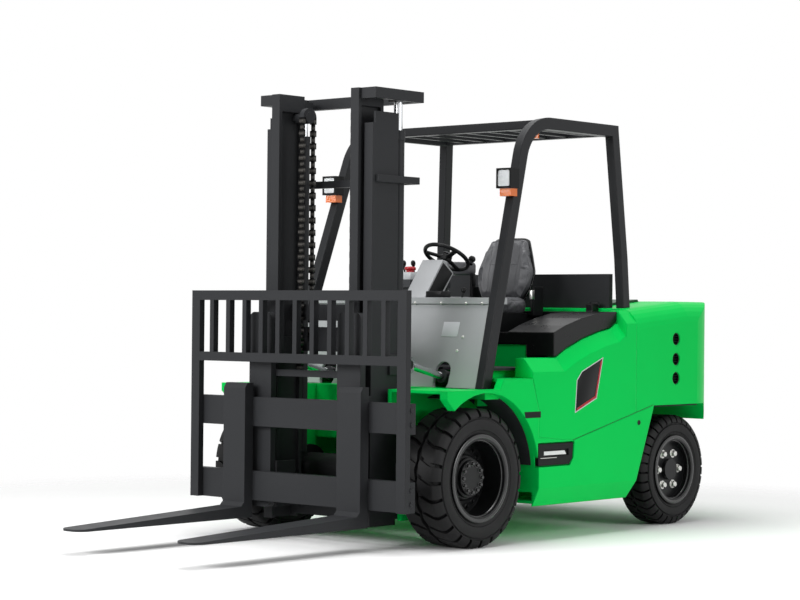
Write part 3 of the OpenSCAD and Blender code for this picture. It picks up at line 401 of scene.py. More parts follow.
# %% Vinyl finish
def seat_vinyl(name, colour, rubbed, pebble_mm=5):
    """Vinyl with a pebbled grain, lighter in patches."""
    finish = new_finish(name)
    place = add(finish, "ShaderNodeTexCoord").outputs["Object"]
    worn = add(finish, "ShaderNodeTexNoise", Vector=place, Scale=grain(180), Detail=3)
    tone = add(
        finish, "ShaderNodeMixRGB", Fac=worn.outputs["Fac"], Color1=srgb(colour), Color2=srgb(rubbed)
    )
    pebbles = add(finish, "ShaderNodeTexVoronoi", Vector=place, Scale=grain(pebble_mm))
    hide = add(
        finish, "ShaderNodeBump", Strength=0.25, Distance=0.8 * MM, Height=pebbles.outputs["Distance"]
    )
    vinyl = add(
        finish,
        "ShaderNodeBsdfPrincipled",
        Base_Color=tone.outputs["Color"],
        Roughness=0.44,
        IOR=1.5,
        Normal=hide.outputs["Normal"],
    )
    add(finish, "ShaderNodeOutputMaterial", Surface=vinyl.outputs["BSDF"])
    return finish


black_vinyl = seat_vinyl("black_seat_vinyl", "#4b4c4f", "#5a5b5e")
print("vinyl made")

# %% [markdown]
# ## Finishes on the solids
#
# Each solid takes one finish, apart from the tyres and the seat's two cushions, which are made anew below.
# Its object keeps its mesh and its place: only its material slots change.

# %% Paint the solids
finish_of = {
    "frame": green_enamel,
    "side_covers": green_enamel,
    "counterweight": green_enamel,
    "top_cover": dark_green_enamel,
    "battery": axle_enamel,
    "floor_plate": mat_rubber,
    "front_cowl": cowl_abs,
    "dashboard": cowl_abs,
    "side_console": dash_abs,
    "overhead_guard": guard_enamel,
    "rear_panel": mast_enamel,
    "headlamps": black_abs,
    "lamp_lenses": clear_lens,
    "indicators": amber_lens,
    "step_lamps": black_abs,
    "drive_axle": axle_enamel,
    "steer_axle": axle_enamel,
    "battery_hood": hood_enamel,
    "seat_base": black_abs,
    "steering_wheel": black_abs,
    "outer_mast": mast_enamel,
    "inner_mast": mast_enamel,
    "lift_barrels": mast_enamel,
    "lift_rods": chromed_rod,
    "chain_back": chain_steel,
    "chain_front": chain_steel,
    "carriage": mast_enamel,
    "load_guard": mast_enamel,
    "forks": mast_enamel,
}
for side in SIDES:
    finish_of["tilt_barrel_" + side] = mast_enamel
    finish_of["tilt_rod_" + side] = chromed_rod
    finish_of["front_rim_" + side] = rim_enamel
    finish_of["rear_rim_" + side] = rim_enamel
    finish_of["knuckle_" + side] = axle_enamel


def paint(obj, finish):
    """Gives every slot of an object one finish."""
    obj.data.materials.clear()
    obj.data.materials.append(finish)


for name, finish in finish_of.items():
    paint(nodes[name], finish)
print(len(finish_of), "solids painted")

# %% [markdown]
# ## From outline to piece
#
# Every piece below starts as a bmesh. One function turns it into an object, gives it a finish and hangs it on
# the body that carries it. Faces that meet at less than the given angle are shaded smooth, so turned parts
# look round and cut edges stay crisp.


# %% Make a piece
def as_piece(name, mesh, finish, body, smooth=30):
    """Turns a bmesh into an object with a finish that rides on a body."""
    bmesh.ops.recalc_face_normals(mesh, faces=mesh.faces)
    data = bpy.data.meshes.new(name)
    mesh.to_mesh(data)
    mesh.free()
    data.materials.append(finish)
    data.shade_smooth()
    data.set_sharp_from_angle(angle=math.radians(smooth))
    piece = bpy.data.objects.new(name, data)
    bpy.context.scene.collection.objects.link(piece)
    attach(piece, body)
    return piece


# %% [markdown]
# ## Tyres
#
# A solid tyre is moulded with deep blocks: a groove runs in from each shoulder, bends, and meets a zigzag
# groove round the middle, and the two sides are staggered by half a block. Cutting that with booleans would
# be slow, so the tyre is a lathe grid whose points sink along the grooves. The grid's columns lean with the
# grooves, so that the walls fall on columns and stay steep. The outline across the tyre is the solid's own:
# bead, sidewall, shoulder and tread, so that the blocks end where the solid does.

# %% Outline of a tyre
GROOVE = 20 * MM


def tyre_section(radius, seat, half):
    """Half of the tyre's outline, from the bead to the middle, as (radius, distance from the middle)."""
    bulge = seat + 50 * MM
    flat = half - 80 * MM
    return [
        (seat - 20 * MM, half - 17 * MM),
        (seat + 1 * MM, half - 16 * MM),
        (seat + 18 * MM, half - 5 * MM),
        (seat + 22 * MM, half - 8 * MM),
        (seat + 26 * MM, half - 4 * MM),
        (bulge, half),
        (bulge + 0.45 * (radius - 37 * MM - bulge), half - 1.5 * MM),
        (radius - 64 * MM, half - 3 * MM),
        (radius - 60 * MM, half - 10 * MM),
        (radius - 53 * MM, half - 10 * MM),
        (radius - 49 * MM, half - 3.5 * MM),
        (radius - 46 * MM, half - 4 * MM),
        (radius - 37 * MM, half - 5 * MM),
        (radius - 24 * MM, half - 12 * MM),
        (radius - 13 * MM, half - 20 * MM),
        (radius - 5 * MM, half - 28 * MM),
        (radius, half - 36 * MM),
        (radius, half - 58 * MM),
        (radius, flat),
        (radius, flat * 0.78),
        (radius, flat * 0.56),
        (radius, flat * 0.34),
        (radius, flat * 0.17),
        (radius - GROOVE, flat * 0.15),
    ]


def lean(across, half):
    """How far a groove has bent round the tyre here, in blocks, counted from the shoulder."""
    share = max(0, 0.6 - abs(across) / half)
    return -0.75 * share if across > 0 else 0.5 + 0.75 * share


# %% Build a treaded tyre
BEAD_GAP = 2 * MM
BLOCK_STEPS = [0, 0.015, 0.1, 0.205, 0.22, 0.3, 0.42, 0.54, 0.66, 0.78, 0.9]
GROOVE_START, GROOVE_END = 0.01, 0.21
GROOVED_RIM = 47 * MM
PLAIN_MIDDLE = 0.13
ZIGZAG = 11 * MM
ZIGZAG_REACH = 0.2
SHOULDER = 30 * MM
SHOULDER_NOTCH = 14 * MM
BLOCKS = {"front": 24, "rear": 34}


def treaded_tyre(name, node, rim_node, blocks, body):
    """A tyre with this many blocks on each shoulder, in the place of its solid."""
    low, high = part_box(node)
    rim_low, rim_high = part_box(rim_node)
    centre = (low + high) / 2
    radius = (high.z - low.z) / 2
    half = (high.x - low.x) / 2
    seat = (rim_high.z - rim_low.z) / 2 + BEAD_GAP
    outline = tyre_section(radius, seat, half)
    section = outline + [(r, -x) for r, x in reversed(outline)]
    mesh = bmesh.new()
    rings = []
    for turn in [block + step for block in range(blocks) for step in BLOCK_STEPS]:
        in_groove = GROOVE_START < turn % 1 < GROOVE_END
        zigzag = ZIGZAG * (2 * abs(2 * (turn % 1) - 1) - 1)
        ring = []
        for r, x in section:
            sunk = in_groove and r > radius - GROOVED_RIM and abs(x) > PLAIN_MIDDLE * half
            reach = r - (GROOVE if sunk else 0)
            angle = math.tau * (turn + lean(x, half)) / blocks
            shift = zigzag * max(0, 1 - abs(x) / (ZIGZAG_REACH * half))
            notch = math.copysign(SHOULDER_NOTCH, x) if sunk and abs(x) > half - SHOULDER else 0
            place = Vector((x + shift - notch, reach * math.cos(angle), reach * math.sin(angle)))
            ring.append(mesh.verts.new(centre + place))
        rings.append(ring)
    for here, there in zip(rings, rings[1:] + rings[:1]):
        for k in range(len(section)):
            mesh.faces.new((here[k - 1], here[k], there[k], there[k - 1]))
    return as_piece(name, mesh, tyre_rubber, body, smooth=34)


for side in SIDES:
    for end, blocks in BLOCKS.items():
        node = end + "_tyre_" + side
        tyre = treaded_tyre("treaded_" + node, node, end + "_rim_" + side, blocks, end + "_wheel_" + side)
        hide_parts(node)
        print(tyre.name, len(tyre.data.polygons), "faces")

# %% [markdown]
# ## Small hardware
#
# Bolts, plates and trim are needed many times, so a few helpers make them. A prism is a flat outline pushed
# along a direction. A turned form is an outline spun round an axis. A bolt is a washer with a hexagon on it
# whose corners are chamfered, as forged heads are. Real edges are never sharp, so most prisms are softened.


# %% Helpers for hardware
def prism(mesh, outline, push, soft_mm=0):
    """A flat outline, in metres, pushed along a vector, with its edges rounded."""
    low = [mesh.verts.new(p) for p in outline]
    high = [mesh.verts.new(Vector(p) + push) for p in outline]
    sides = [mesh.faces.new((low[k - 1], low[k], high[k], high[k - 1])) for k in range(len(low))]
    faces = [mesh.faces.new(low), mesh.faces.new(high)] + sides
    bmesh.ops.recalc_face_normals(mesh, faces=faces)
    if soft_mm:
        edges = {edge for face in faces for edge in face.edges}
        bmesh.ops.bevel(
            mesh, geom=list(edges), offset=soft_mm * MM, segments=2, profile=0.5, affect="EDGES"
        )


def turned(mesh, outline, centre, axis, steps=40):
    """Spins (radius, distance) pairs, in millimetres, round an axis through a centre."""
    across = axis.orthogonal().normalized()
    other = axis.cross(across)
    rings = []
    for k in range(steps):
        angle = math.tau * k / steps
        out = across * math.cos(angle) + other * math.sin(angle)
        rings.append([mesh.verts.new(centre + (axis * along + out * r) * MM) for r, along in outline])
    for here, there in zip(rings, rings[1:] + rings[:1]):
        for k in range(len(outline) - 1):
            mesh.faces.new((here[k], here[k + 1], there[k + 1], there[k]))
    bmesh.ops.remove_doubles(mesh, verts=[v for ring in rings for v in ring], dist=1e-6)


def bolt(mesh, place, out, size, height=0.62):
    """A washer and a chamfered hexagon head of this size across its corners, in millimetres."""
    washer = [(0, 0.12), (0.68, 0.12), (0.74, 0.06), (0.74, 0)]
    head = [(0, height), (0.4, height), (0.5, height - 0.12), (0.5, 0)]
    for outline, steps in ((washer, 20), (head, 6)):
        turned(mesh, [(r * size, along * size) for r, along in outline], place, out, steps)


def bolt_circle(mesh, centre, axle, count, circle, face, size, height):
    """Bolts on a circle round an axle, at a face this far along it, in millimetres."""
    for k in range(count):
        angle = math.tau * k / count
        spoke = Vector((0, math.cos(angle), math.sin(angle)))
        bolt(mesh, centre + (spoke * circle + axle * face) * MM, axle, size, height)


def box_outline(left, low, high):
    """Four corners, on one plane across the truck, from two (back, up) corners."""
    return [at(left, b, u) for b, u in (low, (high[0], low[1]), high, (low[0], high[1]))]


print("hardware helpers ready")

# %% [markdown]
# ## Wheels
#
# The drive wheels are deep black dishes with a planetary hub far inside, closed by a ring of bolts. The
# steered wheels are shallower, with plated nuts that catch the light. Both rims have a rolled lip and a lock
# ring, which show as bright circles against the tyre. They are turned from small outlines, given as steps in
# from the rim's own radius and edge.

# %% Rim lips, nuts and hub bolts
WHEELS = {
    "front": {
        "lip": 262, "edge": 150, "barrel": 228, "count": 12, "circle": 85, "face": 84, "size": 24,
        "nuts": ring_enamel,
    },
    "rear": {
        "lip": 227, "edge": 113, "barrel": 195, "count": 6, "circle": 118, "face": 54, "size": 41,
        "nuts": zinc_plate,
    },
}
ROLLED_LIP = [(-24, -4), (-22, 1), (-15, 3.5), (-5, 3.5), (0, 1), (0.5, -4)]
LOCK_RING = [(0, -16), (-5, -17), (-8, -22), (-5, -28), (0, -29)]
RING_STEPS = 96
NUT_HEIGHT = 0.66
for side, sign in SIDES.items():
    for end, w in WHEELS.items():
        low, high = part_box(end + "_rim_" + side)
        centre = (low + high) / 2
        axle = Vector((sign, 0, 0))
        mesh = bmesh.new()
        for ring, reach in ((ROLLED_LIP, w["lip"]), (LOCK_RING, w["barrel"])):
            outline = [(reach + r, w["edge"] + along) for r, along in ring]
            turned(mesh, outline, centre, axle, RING_STEPS)
        as_piece(end + "_rim_rings_" + side, mesh, ring_enamel, end + "_wheel_" + side)
        mesh = bmesh.new()
        bolt_circle(mesh, centre, axle, w["count"], w["circle"], w["face"], w["size"], NUT_HEIGHT)
        as_piece(end + "_nuts_" + side, mesh, w["nuts"], end + "_wheel_" + side)
print("wheels dressed")

# %% [markdown]
# ## Front hubs
#
# Inside the drive wheel's dish sits the reduction hub: a stepped casting with a ring of studs where it is
# bolted to the disc. It is turned from an outline, and the studs stand on its flange.

# %% Hub castings
HUB = [
    (205, -14), (200, -6), (172, -4), (166, 2), (142, 2),
    (138, 30), (128, 36), (119, 36), (119, 58), (106, 61),
]
HUB_STEPS = 72
STUDS = {"count": 20, "circle": 186, "face": -5, "size": 22, "height": 0.8}
for side, sign in SIDES.items():
    low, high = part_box("front_rim_" + side)
    centre = (low + high) / 2
    axle = Vector((sign, 0, 0))
    mesh = bmesh.new()
    turned(mesh, HUB, centre, axle, HUB_STEPS)
    bolt_circle(mesh, centre, axle, **STUDS)
    as_piece("hub_casting_" + side, mesh, rim_enamel, "front_wheel_" + side)
print("hubs made")

# %% [markdown]
# ## Side panels
#
# The steel side panels meet in narrow shut lines and carry a few fittings: a bare badge plate with a red
# stripe, a grab slot, a round access hole, and the cooling vents of the counterweight. All of these are
# thin, so they are plates laid on the panels and cups let into their holes. The shut line, the slot and the
# hole are black plates and the vents black cups: painted shade where the panels are open. Dark rubber sheets
# in the wheel arches are painted shade under the panels.

# %% Badge, grab slot and shut line
PANEL = 940
BADGE = [(1201, 1124), (1134, 863), (906, 777), (923, 982), (975, 1038)]


def shrunk(points, share):
    """The same outline, drawn in towards its middle."""
    middle_b = sum(b for b, u in points) / len(points)
    middle_u = sum(u for b, u in points) / len(points)
    return [(middle_b + share * (b - middle_b), middle_u + share * (u - middle_u)) for b, u in points]


def plate(name, pieces, finish, body, sign, soft_mm=0.4):
    """Flat outlines on a side of the truck, each (distance out, thickness, points), as one piece."""
    mesh = bmesh.new()
    for out, thick, points in pieces:
        outline = [at(sign * out, b, u) for b, u in points]
        prism(mesh, outline, Vector((sign * thick * MM, 0, 0)), soft_mm)
    as_piece(name, mesh, finish, body)


SLOT = [(398, 798), (560, 798), (560, 760), (408, 760)]
SHUT_LINE = [(888, 609.5), (1753, 805.5), (1753, 808.5), (888, 612.5)]
inner, stripe = shrunk(BADGE, 0.94), shrunk(BADGE, 0.82)
for side, sign in SIDES.items():
    plate("badge_border_" + side, [(PANEL - 2, 3, BADGE)], pale_abs, "chassis", sign)
    plate("badge_face_" + side, [(PANEL - 1, 3, inner)], black_abs, "chassis", sign)
    band = inner[:3] + stripe[2::-1]
    plate("badge_stripe_" + side, [(PANEL + 0.5, 2.2, band)], red_abs, "chassis", sign)
    # The slot and the shut line are black strips, painted shade in the openings of the panel.
    lines = [(PANEL - 2, 2.6, SLOT), (PANEL - 2, 2.6, SHUT_LINE)]
    plate("panel_gap_shade_" + side, lines, black_abs, "chassis", sign, soft_mm=0)
print("panels dressed")

# %% Vents, access hole and shade sheets in the arches
VENT_BACK = 2018
VENT_UPS = (977, 1103, 1236)
VENT_CUP = [(0, -30), (36, -30), (40, -26), (40.6, -7), (38, -5), (34, -7)]
VENT_IN = 36
FIN_UPS = (-18, 0, 18)
FIN_HALF, FIN_DEPTH, FIN_SUNK = 2, 14, 12
HOLE_RIM = [(0, 0.8), (11, 0.8), (13, 2), (16, 2), (17, -2)]
HOLE_BACK, HOLE_UP = 1597, 697
ARCH_BACK, ARCH_UP = 40, 415
ARCH_FROM, ARCH_SWEEP, ARCH_STEPS = 6, 104, 40
ARCH_OUTER, ARCH_INNER = 503, 497
ARCH_LEFT, ARCH_WIDE = 620, 262
REAR_SHADE_SHEET_LOW, REAR_SHADE_SHEET_HIGH = (1790, 791), (2330, 799)
REAR_SHADE_SHEET_LEFT, REAR_SHADE_SHEET_WIDE = 645, 255
angles = [math.radians(ARCH_FROM + ARCH_SWEEP * k / ARCH_STEPS) for k in range(ARCH_STEPS + 1)]
arch = []
for r, run in ((ARCH_OUTER, angles), (ARCH_INNER, angles[::-1])):
    arch += [(ARCH_BACK + r * math.cos(a), ARCH_UP + r * math.sin(a)) for a in run]
for side, sign in SIDES.items():
    out = Vector((sign, 0, 0))
    mesh = bmesh.new()
    # The cups and their fins are black, painted shade inside the vents.
    for up in VENT_UPS:
        turned(mesh, VENT_CUP, at(sign * PANEL, VENT_BACK, up), out)
        for fin in FIN_UPS:
            reach = math.sqrt(VENT_IN * VENT_IN - fin * fin)
            low = (VENT_BACK - reach, up + fin - FIN_HALF)
            high = (VENT_BACK + reach, up + fin + FIN_HALF)
            prism(mesh, box_outline(sign * (PANEL - FIN_SUNK), low, high), out * -FIN_DEPTH * MM, 0.8)
    # The disc in the access hole is black, painted shade in the hole.
    turned(mesh, HOLE_RIM, at(sign * PANEL, HOLE_BACK, HOLE_UP), out)
    as_piece("vent_cups_" + side, mesh, black_abs, "chassis")
    mesh = bmesh.new()
    # Dark rubber sheets under the front and rear arches, painted shade under the panels.
    prism(mesh, [at(sign * ARCH_LEFT, b, u) for b, u in arch], out * ARCH_WIDE * MM)
    corners = box_outline(sign * REAR_SHADE_SHEET_LEFT, REAR_SHADE_SHEET_LOW, REAR_SHADE_SHEET_HIGH)
    prism(mesh, corners, out * REAR_SHADE_SHEET_WIDE * MM, 2)
    as_piece("arch_shade_sheets_" + side, mesh, mat_rubber, "chassis")
print("vents and linings made")

# %% [markdown]
# ## Step lamps
#
# A white strip lens sits in a black housing below the sill and lights the step. Its rear end is cut on the
# slant, and a thin bright moulding runs under it. Both are flat, so they are plates as on the panels.

# %% Strip lenses and mouldings
LENS = [(604, 526), (830, 526), (812, 550), (604, 550)]
MOULDING = [(560, 508), (722, 508), (722, 512), (560, 512)]
for side, sign in SIDES.items():
    strip, bar = [(926, 8, LENS)], [(938, 4, MOULDING)]
    plate("step_lens_" + side, strip, white_lens, "chassis", sign, soft_mm=1.5)
    plate("step_moulding_" + side, bar, zinc_plate, "chassis", sign, soft_mm=0.8)
print("step lamps made")

# %% [markdown]
# ## Cowl, dashboard and levers
#
# The plastic cowl is held by rows of flanged screws, and carries a bare plate. Black plates cover the two
# sides of the column cover, so they are darker than its front, and a small black box sits on the ledge
# beside it. The stop switch is a red mushroom on a pale case, and the hydraulic levers stand at the front of
# the side console, each in a rubber boot and with a rounded knob.
# Round pieces are turned from their outlines, and the rest are softened prisms.

# %% Cowl screws and plate
COWL_SLOPE = math.radians(17.6)
COWL_OUT = Vector((0, -math.cos(COWL_SLOPE), math.sin(COWL_SLOPE)))
COWL_FOOT_BACK, COWL_FOOT_UP = 156, 938
COWL_FACE = 12
SCREW = 13
LEDGE_BACK, LEDGE_UP = 290, 1455
LEDGE_SCREWS = (148, 361, 562, 689)
FACE_SCREWS = ((579, 1245), (556, 1160))
COWL_PLATE = ((406, 1245), (534, 1245), (534, 1335), (406, 1335))
COWL_PLATE_THICK = 2


def on_cowl(left, up):
    """A point on the cowl's front face."""
    back = COWL_FOOT_BACK + (up - COWL_FOOT_UP) * math.tan(COWL_SLOPE)
    return at(left, back, up) + COWL_OUT * COWL_FACE * MM


mesh = bmesh.new()
for left in LEDGE_SCREWS:
    for sign in SIDES.values():
        bolt(mesh, at(sign * left, LEDGE_BACK, LEDGE_UP), Vector((0, -1, 0)), SCREW)
for left, up in FACE_SCREWS:
    for sign in SIDES.values():
        bolt(mesh, on_cowl(sign * left, up), COWL_OUT, SCREW)
as_piece("cowl_screws", mesh, zinc_plate, "chassis")
mesh = bmesh.new()
prism(mesh, [on_cowl(left, up) for left, up in COWL_PLATE], COWL_OUT * COWL_PLATE_THICK * MM, 0.6)
as_piece("cowl_plate", mesh, pale_abs, "chassis")
print("cowl dressed")

# %% Column panels and stop switch
COLUMN = [(422, 1496), (552, 1496), (676, 1648), (586, 1714)]
COLUMN_SIDES = ((124, 4), (-44, -4))
LEDGE_BOX_LEFT, LEDGE_BOX_WIDE = 200, 130
LEDGE_BOX_LOW, LEDGE_BOX_HIGH = (330, 1488), (420, 1530)
SWITCH_HEAD = [(27, 0), (27, 12), (36, 16), (39, 24), (37, 33), (28, 38), (0, 40)]
SWITCH_FOOT = at(-369, 834, 1660)
CASE_LEFT, CASE_WIDE = -408, 78
CASE_LOW, CASE_HIGH = (791, 1611), (877, 1661)
mesh = bmesh.new()
for left, step in COLUMN_SIDES:
    prism(mesh, [at(left, b, u) for b, u in COLUMN], Vector((step * MM, 0, 0)), 1.2)
corners = box_outline(LEDGE_BOX_LEFT, LEDGE_BOX_LOW, LEDGE_BOX_HIGH)
prism(mesh, corners, Vector((LEDGE_BOX_WIDE * MM, 0, 0)), 5)
as_piece("column_panels", mesh, black_abs, "chassis")
mesh = bmesh.new()
turned(mesh, SWITCH_HEAD, SWITCH_FOOT, Vector((0, 0, 1)))
as_piece("stop_switch_head", mesh, red_abs, "hood")
mesh = bmesh.new()
prism(mesh, box_outline(CASE_LEFT, CASE_LOW, CASE_HIGH), Vector((CASE_WIDE * MM, 0, 0)), 6)
as_piece("stop_switch_case", mesh, pale_abs, "hood")
print("column and stop switch made")

# %% Console pad and levers
CONSOLE_PAD = [(930, 1618), (945, 1648), (1000, 1668), (1180, 1668), (1196, 1650), (1190, 1606)]
PAD_LEFT, PAD_WIDE = -474, 138
LEVERS = ((-455, 812), (-425, 852), (-455, 892), (-385, 906))
LEVER_FOOT = 1608
BOOT = [(15, 0), (15, 4), (12, 7), (13, 10), (10, 13), (11, 16), (8, 19), (6, 24)]
LEVER = [(4.5, 20), (4.5, 92), (9, 96), (15, 108), (16, 120), (12, 132), (0, 138)]
BRAKE_LEVER = [(7, 0), (7, 60), (14, 64), (17, 76), (14, 90), (0, 95)]
BRAKE_FOOT = at(300, 560, 1466)
LEVER_STEPS = 24
lean_forward = Vector((0, -0.22, 1)).normalized()
lean_back = Vector((0, 0.3, 1)).normalized()
mesh = bmesh.new()
prism(mesh, [at(PAD_LEFT, b, u) for b, u in CONSOLE_PAD], Vector((PAD_WIDE * MM, 0, 0)), 9)
as_piece("console_pad", mesh, black_vinyl, "hood")
mesh = bmesh.new()
boots = bmesh.new()
for left, back in LEVERS:
    foot = at(left, back, LEVER_FOOT)
    turned(boots, BOOT, foot, lean_forward, LEVER_STEPS)
    turned(mesh, LEVER, foot, lean_forward, LEVER_STEPS)
as_piece("lever_boots", boots, mat_rubber, "hood")
as_piece("hydraulic_levers", mesh, black_abs, "hood")
mesh = bmesh.new()
turned(mesh, BRAKE_LEVER, BRAKE_FOOT, lean_back, LEVER_STEPS)
as_piece("brake_lever", mesh, black_abs, "chassis")
print("levers made")

# %% Spinner knob and boss of the steering wheel
WHEEL_SLOPE = math.radians(32)
WHEEL_RADIUS = 158
WHEEL_CENTRE = at(40, 720, 1754)
KNOB = [(16, 6), (18, 10), (12, 18), (12, 26), (22, 36), (24, 48), (18, 60), (0, 64)]
KNOB_STEPS = 32
BOSS = [(0, 9), (30, 8), (34, 4), (34, 0)]
BOSS_UP = 16
wheel_up = Vector((0, math.sin(WHEEL_SLOPE), math.cos(WHEEL_SLOPE)))
wheel_back = Vector((0, math.cos(WHEEL_SLOPE), -math.sin(WHEEL_SLOPE)))
mesh = bmesh.new()
rim_point = WHEEL_CENTRE + (Vector((0.8, 0, 0)) + wheel_back * 0.6) * WHEEL_RADIUS * MM
turned(mesh, KNOB, rim_point, wheel_up, KNOB_STEPS)
as_piece("spinner_knob", mesh, black_abs, "steering_wheel")
mesh = bmesh.new()
turned(mesh, BOSS, WHEEL_CENTRE + wheel_up * BOSS_UP * MM, wheel_up)
as_piece("wheel_boss", mesh, dash_abs, "steering_wheel")
print("knob and boss made")

# %% [markdown]
# ## Carriage bolts
#
# The side stops of the fork bars are held by big hexagon bolts, sprayed with the carriage. They are the bolt
# made above, four on each side.

# %% Bolts on the side stops
STOP_BOLT = 30
STOP_LEFT, STOP_BACK = 880, -586
STOP_BOLT_UPS = (291, 371, 749, 829)
mesh = bmesh.new()
for sign in SIDES.values():
    for up in STOP_BOLT_UPS:
        bolt(mesh, at(sign * STOP_LEFT, STOP_BACK, up), Vector((sign, 0, 0)), STOP_BOLT)
as_piece("carriage_bolts", mesh, mast_enamel, "carriage")
print("carriage bolts made")

# %% [markdown]
# ## Seat
#
# The seat is foam under stretched vinyl. Each cushion is first made as a low form from a stack of outlines.
# A remesh gives it even faces, and a short cloth simulation with inner pressure makes the cover swell and
# pull over the foam as it does on a real seat. How far the cover may move is capped, so the cushion keeps its
# form. The piping is laid afterwards on the swollen cover, along the seams where the panels of vinyl are sewn
# together.

# %% Cushion forms
SEAT_LEFT = 60
SEAT_LEAN = math.radians(11)
BACK_FOOT = at(SEAT_LEFT, 1310, 1452)
back_up = Vector((0, math.sin(SEAT_LEAN), math.cos(SEAT_LEAN)))
back_front = Vector((0, -math.cos(SEAT_LEAN), math.sin(SEAT_LEAN)))


def on_back(left, up, front):
    """A point on the seat back, from the middle of its foot: sideways, along it, and out of its front."""
    return BACK_FOOT + (Vector((left, 0, 0)) + back_up * up + back_front * front) * MM


def stacked_form(loops):
    """A closed form through a stack of loops with equally many points each."""
    mesh = bmesh.new()
    rings = [[mesh.verts.new(p) for p in loop] for loop in loops]
    for here, there in zip(rings, rings[1:]):
        for k in range(len(here)):
            mesh.faces.new((here[k - 1], here[k], there[k], there[k - 1]))
    mesh.faces.new(rings[0])
    mesh.faces.new(rings[-1])
    return mesh


def rounded(points, steps=6, share=0.22):
    """Points along an outline whose corners are rounded."""
    smooth = []
    for k, corner in enumerate(points):
        before, after = Vector(points[k - 1]), Vector(points[(k + 1) % len(points)])
        corner = Vector(corner)
        start, end = corner.lerp(before, share), corner.lerp(after, share)
        for n in range(steps + 1):
            t = n / steps
            smooth.append(start.lerp(corner, t).lerp(corner.lerp(end, t), t))
    return smooth


BACK = [
    (-160, 14), (-212, 120), (-226, 215), (-186, 330), (-140, 448),
    (140, 448), (186, 330), (226, 215), (212, 120), (160, 14),
]
BACK_MIDDLE = 230
BACK_STACK = (
    (0.86, 6), (0.95, 14), (0.985, 28), (0.98, 48), (0.93, 58), (0.8, 62), (0.62, 60), (0.4, 58),
)
FRONT_FROM = 40
WING, WING_FROM, WING_RAMP = 26, 118, 50
LUMBAR, LUMBAR_UP, LUMBAR_TALL, LUMBAR_WIDE = 14, 150, 90, 150
BASE = [(-232, 876), (-240, 1080), (-225, 1286), (225, 1286), (240, 1080), (232, 876)]
BASE_MIDDLE = 1081
BASE_FOOT, BASE_TOP = 1404, 1474
BOLSTER, BOLSTER_FROM, BOLSTER_RAMP = 18, 130, 60
DROP, DROP_FROM, DROP_RAMP = 22, 930, 60
BASE_STACK = (
    (0.93, 0), (0.98, 0.2), (0.99, 0.6), (0.965, 0.88), (0.9, 1), (0.74, 1), (0.5, 1), (0.25, 1),
)


def back_front_at(left, up):
    """How far the foam of the back stands out: the side wings and the lumbar roll stand proud."""
    wing = WING * max(0, min(1, (abs(left) - WING_FROM) / WING_RAMP))
    roll = LUMBAR * math.exp(-(((up - LUMBAR_UP) / LUMBAR_TALL) ** 2))
    return wing + roll * (1 - min(1, abs(left) / LUMBAR_WIDE))


def base_top(left, back):
    """The top of the seat's foam: bolsters along the sides and a rounded front edge."""
    bolster = BOLSTER * max(0, min(1, (abs(left) - BOLSTER_FROM) / BOLSTER_RAMP))
    edge = -DROP * max(0, (DROP_FROM - back) / DROP_RAMP)
    return BASE_TOP + bolster + edge


back_loops = []
for share, front in BACK_STACK:
    loop = []
    tall = share if share > 0.9 else 0.5 + share / 2
    for p in rounded(BACK):
        left, up = p.x * share, BACK_MIDDLE + (p.y - BACK_MIDDLE) * tall
        proud = back_front_at(left, up) if front > FRONT_FROM else 0
        loop.append(on_back(left, up, front + proud))
    back_loops.append(loop)
base_loops = []
for share, height in BASE_STACK:
    loop = []
    for p in rounded(BASE):
        left, back = p.x * share, BASE_MIDDLE + (p.y - BASE_MIDDLE) * share
        up = BASE_FOOT + (base_top(left, back) - BASE_FOOT) * height
        loop.append(at(SEAT_LEFT + left, back, up))
    base_loops.append(loop)
print("cushion forms ready")


# %% Swell the covers
FACE_SIZE = 6 * MM
SWELL_FRAMES = 20


def baked(piece):
    """Takes a piece's modifiers into its mesh."""
    shown = piece.evaluated_get(bpy.context.evaluated_depsgraph_get())
    data = bpy.data.meshes.new_from_object(shown)
    old = piece.data
    piece.modifiers.clear()
    piece.data = data
    bpy.data.meshes.remove(old)


def stuffed(name, mesh, cap_mm, node):
    """Remeshes a form evenly and lets its cover swell under pressure, no further than the cap."""
    piece = as_piece(name, mesh, black_vinyl, "hood", smooth=180)
    even = piece.modifiers.new("even_faces", "REMESH")
    even.mode = "VOXEL"
    even.voxel_size = FACE_SIZE
    even.use_smooth_shade = True
    baked(piece)
    before = [v.co.copy() for v in piece.data.vertices]
    cover = piece.modifiers.new("cover", "CLOTH")
    cover.settings.use_pressure = True
    cover.settings.uniform_pressure_force = 4
    cover.settings.effector_weights.gravity = 0
    cover.settings.bending_stiffness = 8
    for moment in range(1, SWELL_FRAMES + 1):
        bpy.context.scene.frame_set(moment)
    baked(piece)
    bpy.context.scene.frame_set(1)
    for v, old in zip(piece.data.vertices, before):
        move = v.co - old
        if move.length > cap_mm * MM:
            v.co = old + move.normalized() * cap_mm * MM
    pulled = piece.modifiers.new("pulled_tight", "SMOOTH")
    pulled.factor = 0.5
    pulled.iterations = 6
    finer = piece.modifiers.new("finer", "SUBSURF")
    finer.levels = 1
    finer.render_levels = 1
    baked(piece)
    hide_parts(node)
    print(name, len(piece.data.polygons), "faces")
    return piece


seat_back = stuffed("stuffed_seat_back", stacked_form(back_loops), 12, "seat_back")
seat_base = stuffed("stuffed_seat_cushion", stacked_form(base_loops), 14, "seat_cushion")

# %% Piping and seams
PIPING, SEAM = 3.5, 2.2
CORD_SIDES = 8
SEAM_POINTS = range(101)
BACK_SEAM, CROSS_SEAM, BASE_SEAM = 112, 262, 128
BACK_SEAM_FROM, BACK_SEAM_STEP, CROSS_SEAM_STEP = 60, 3.4, 2.24
BASE_SEAM_FROM, BASE_SEAM_STEP = 890, 3.8
OVER_BACK, OVER_BASE = 90, 1500
BACK_PIPING = ((0.94, 62), (0.97, 12))
PIPING_STEPS = 10


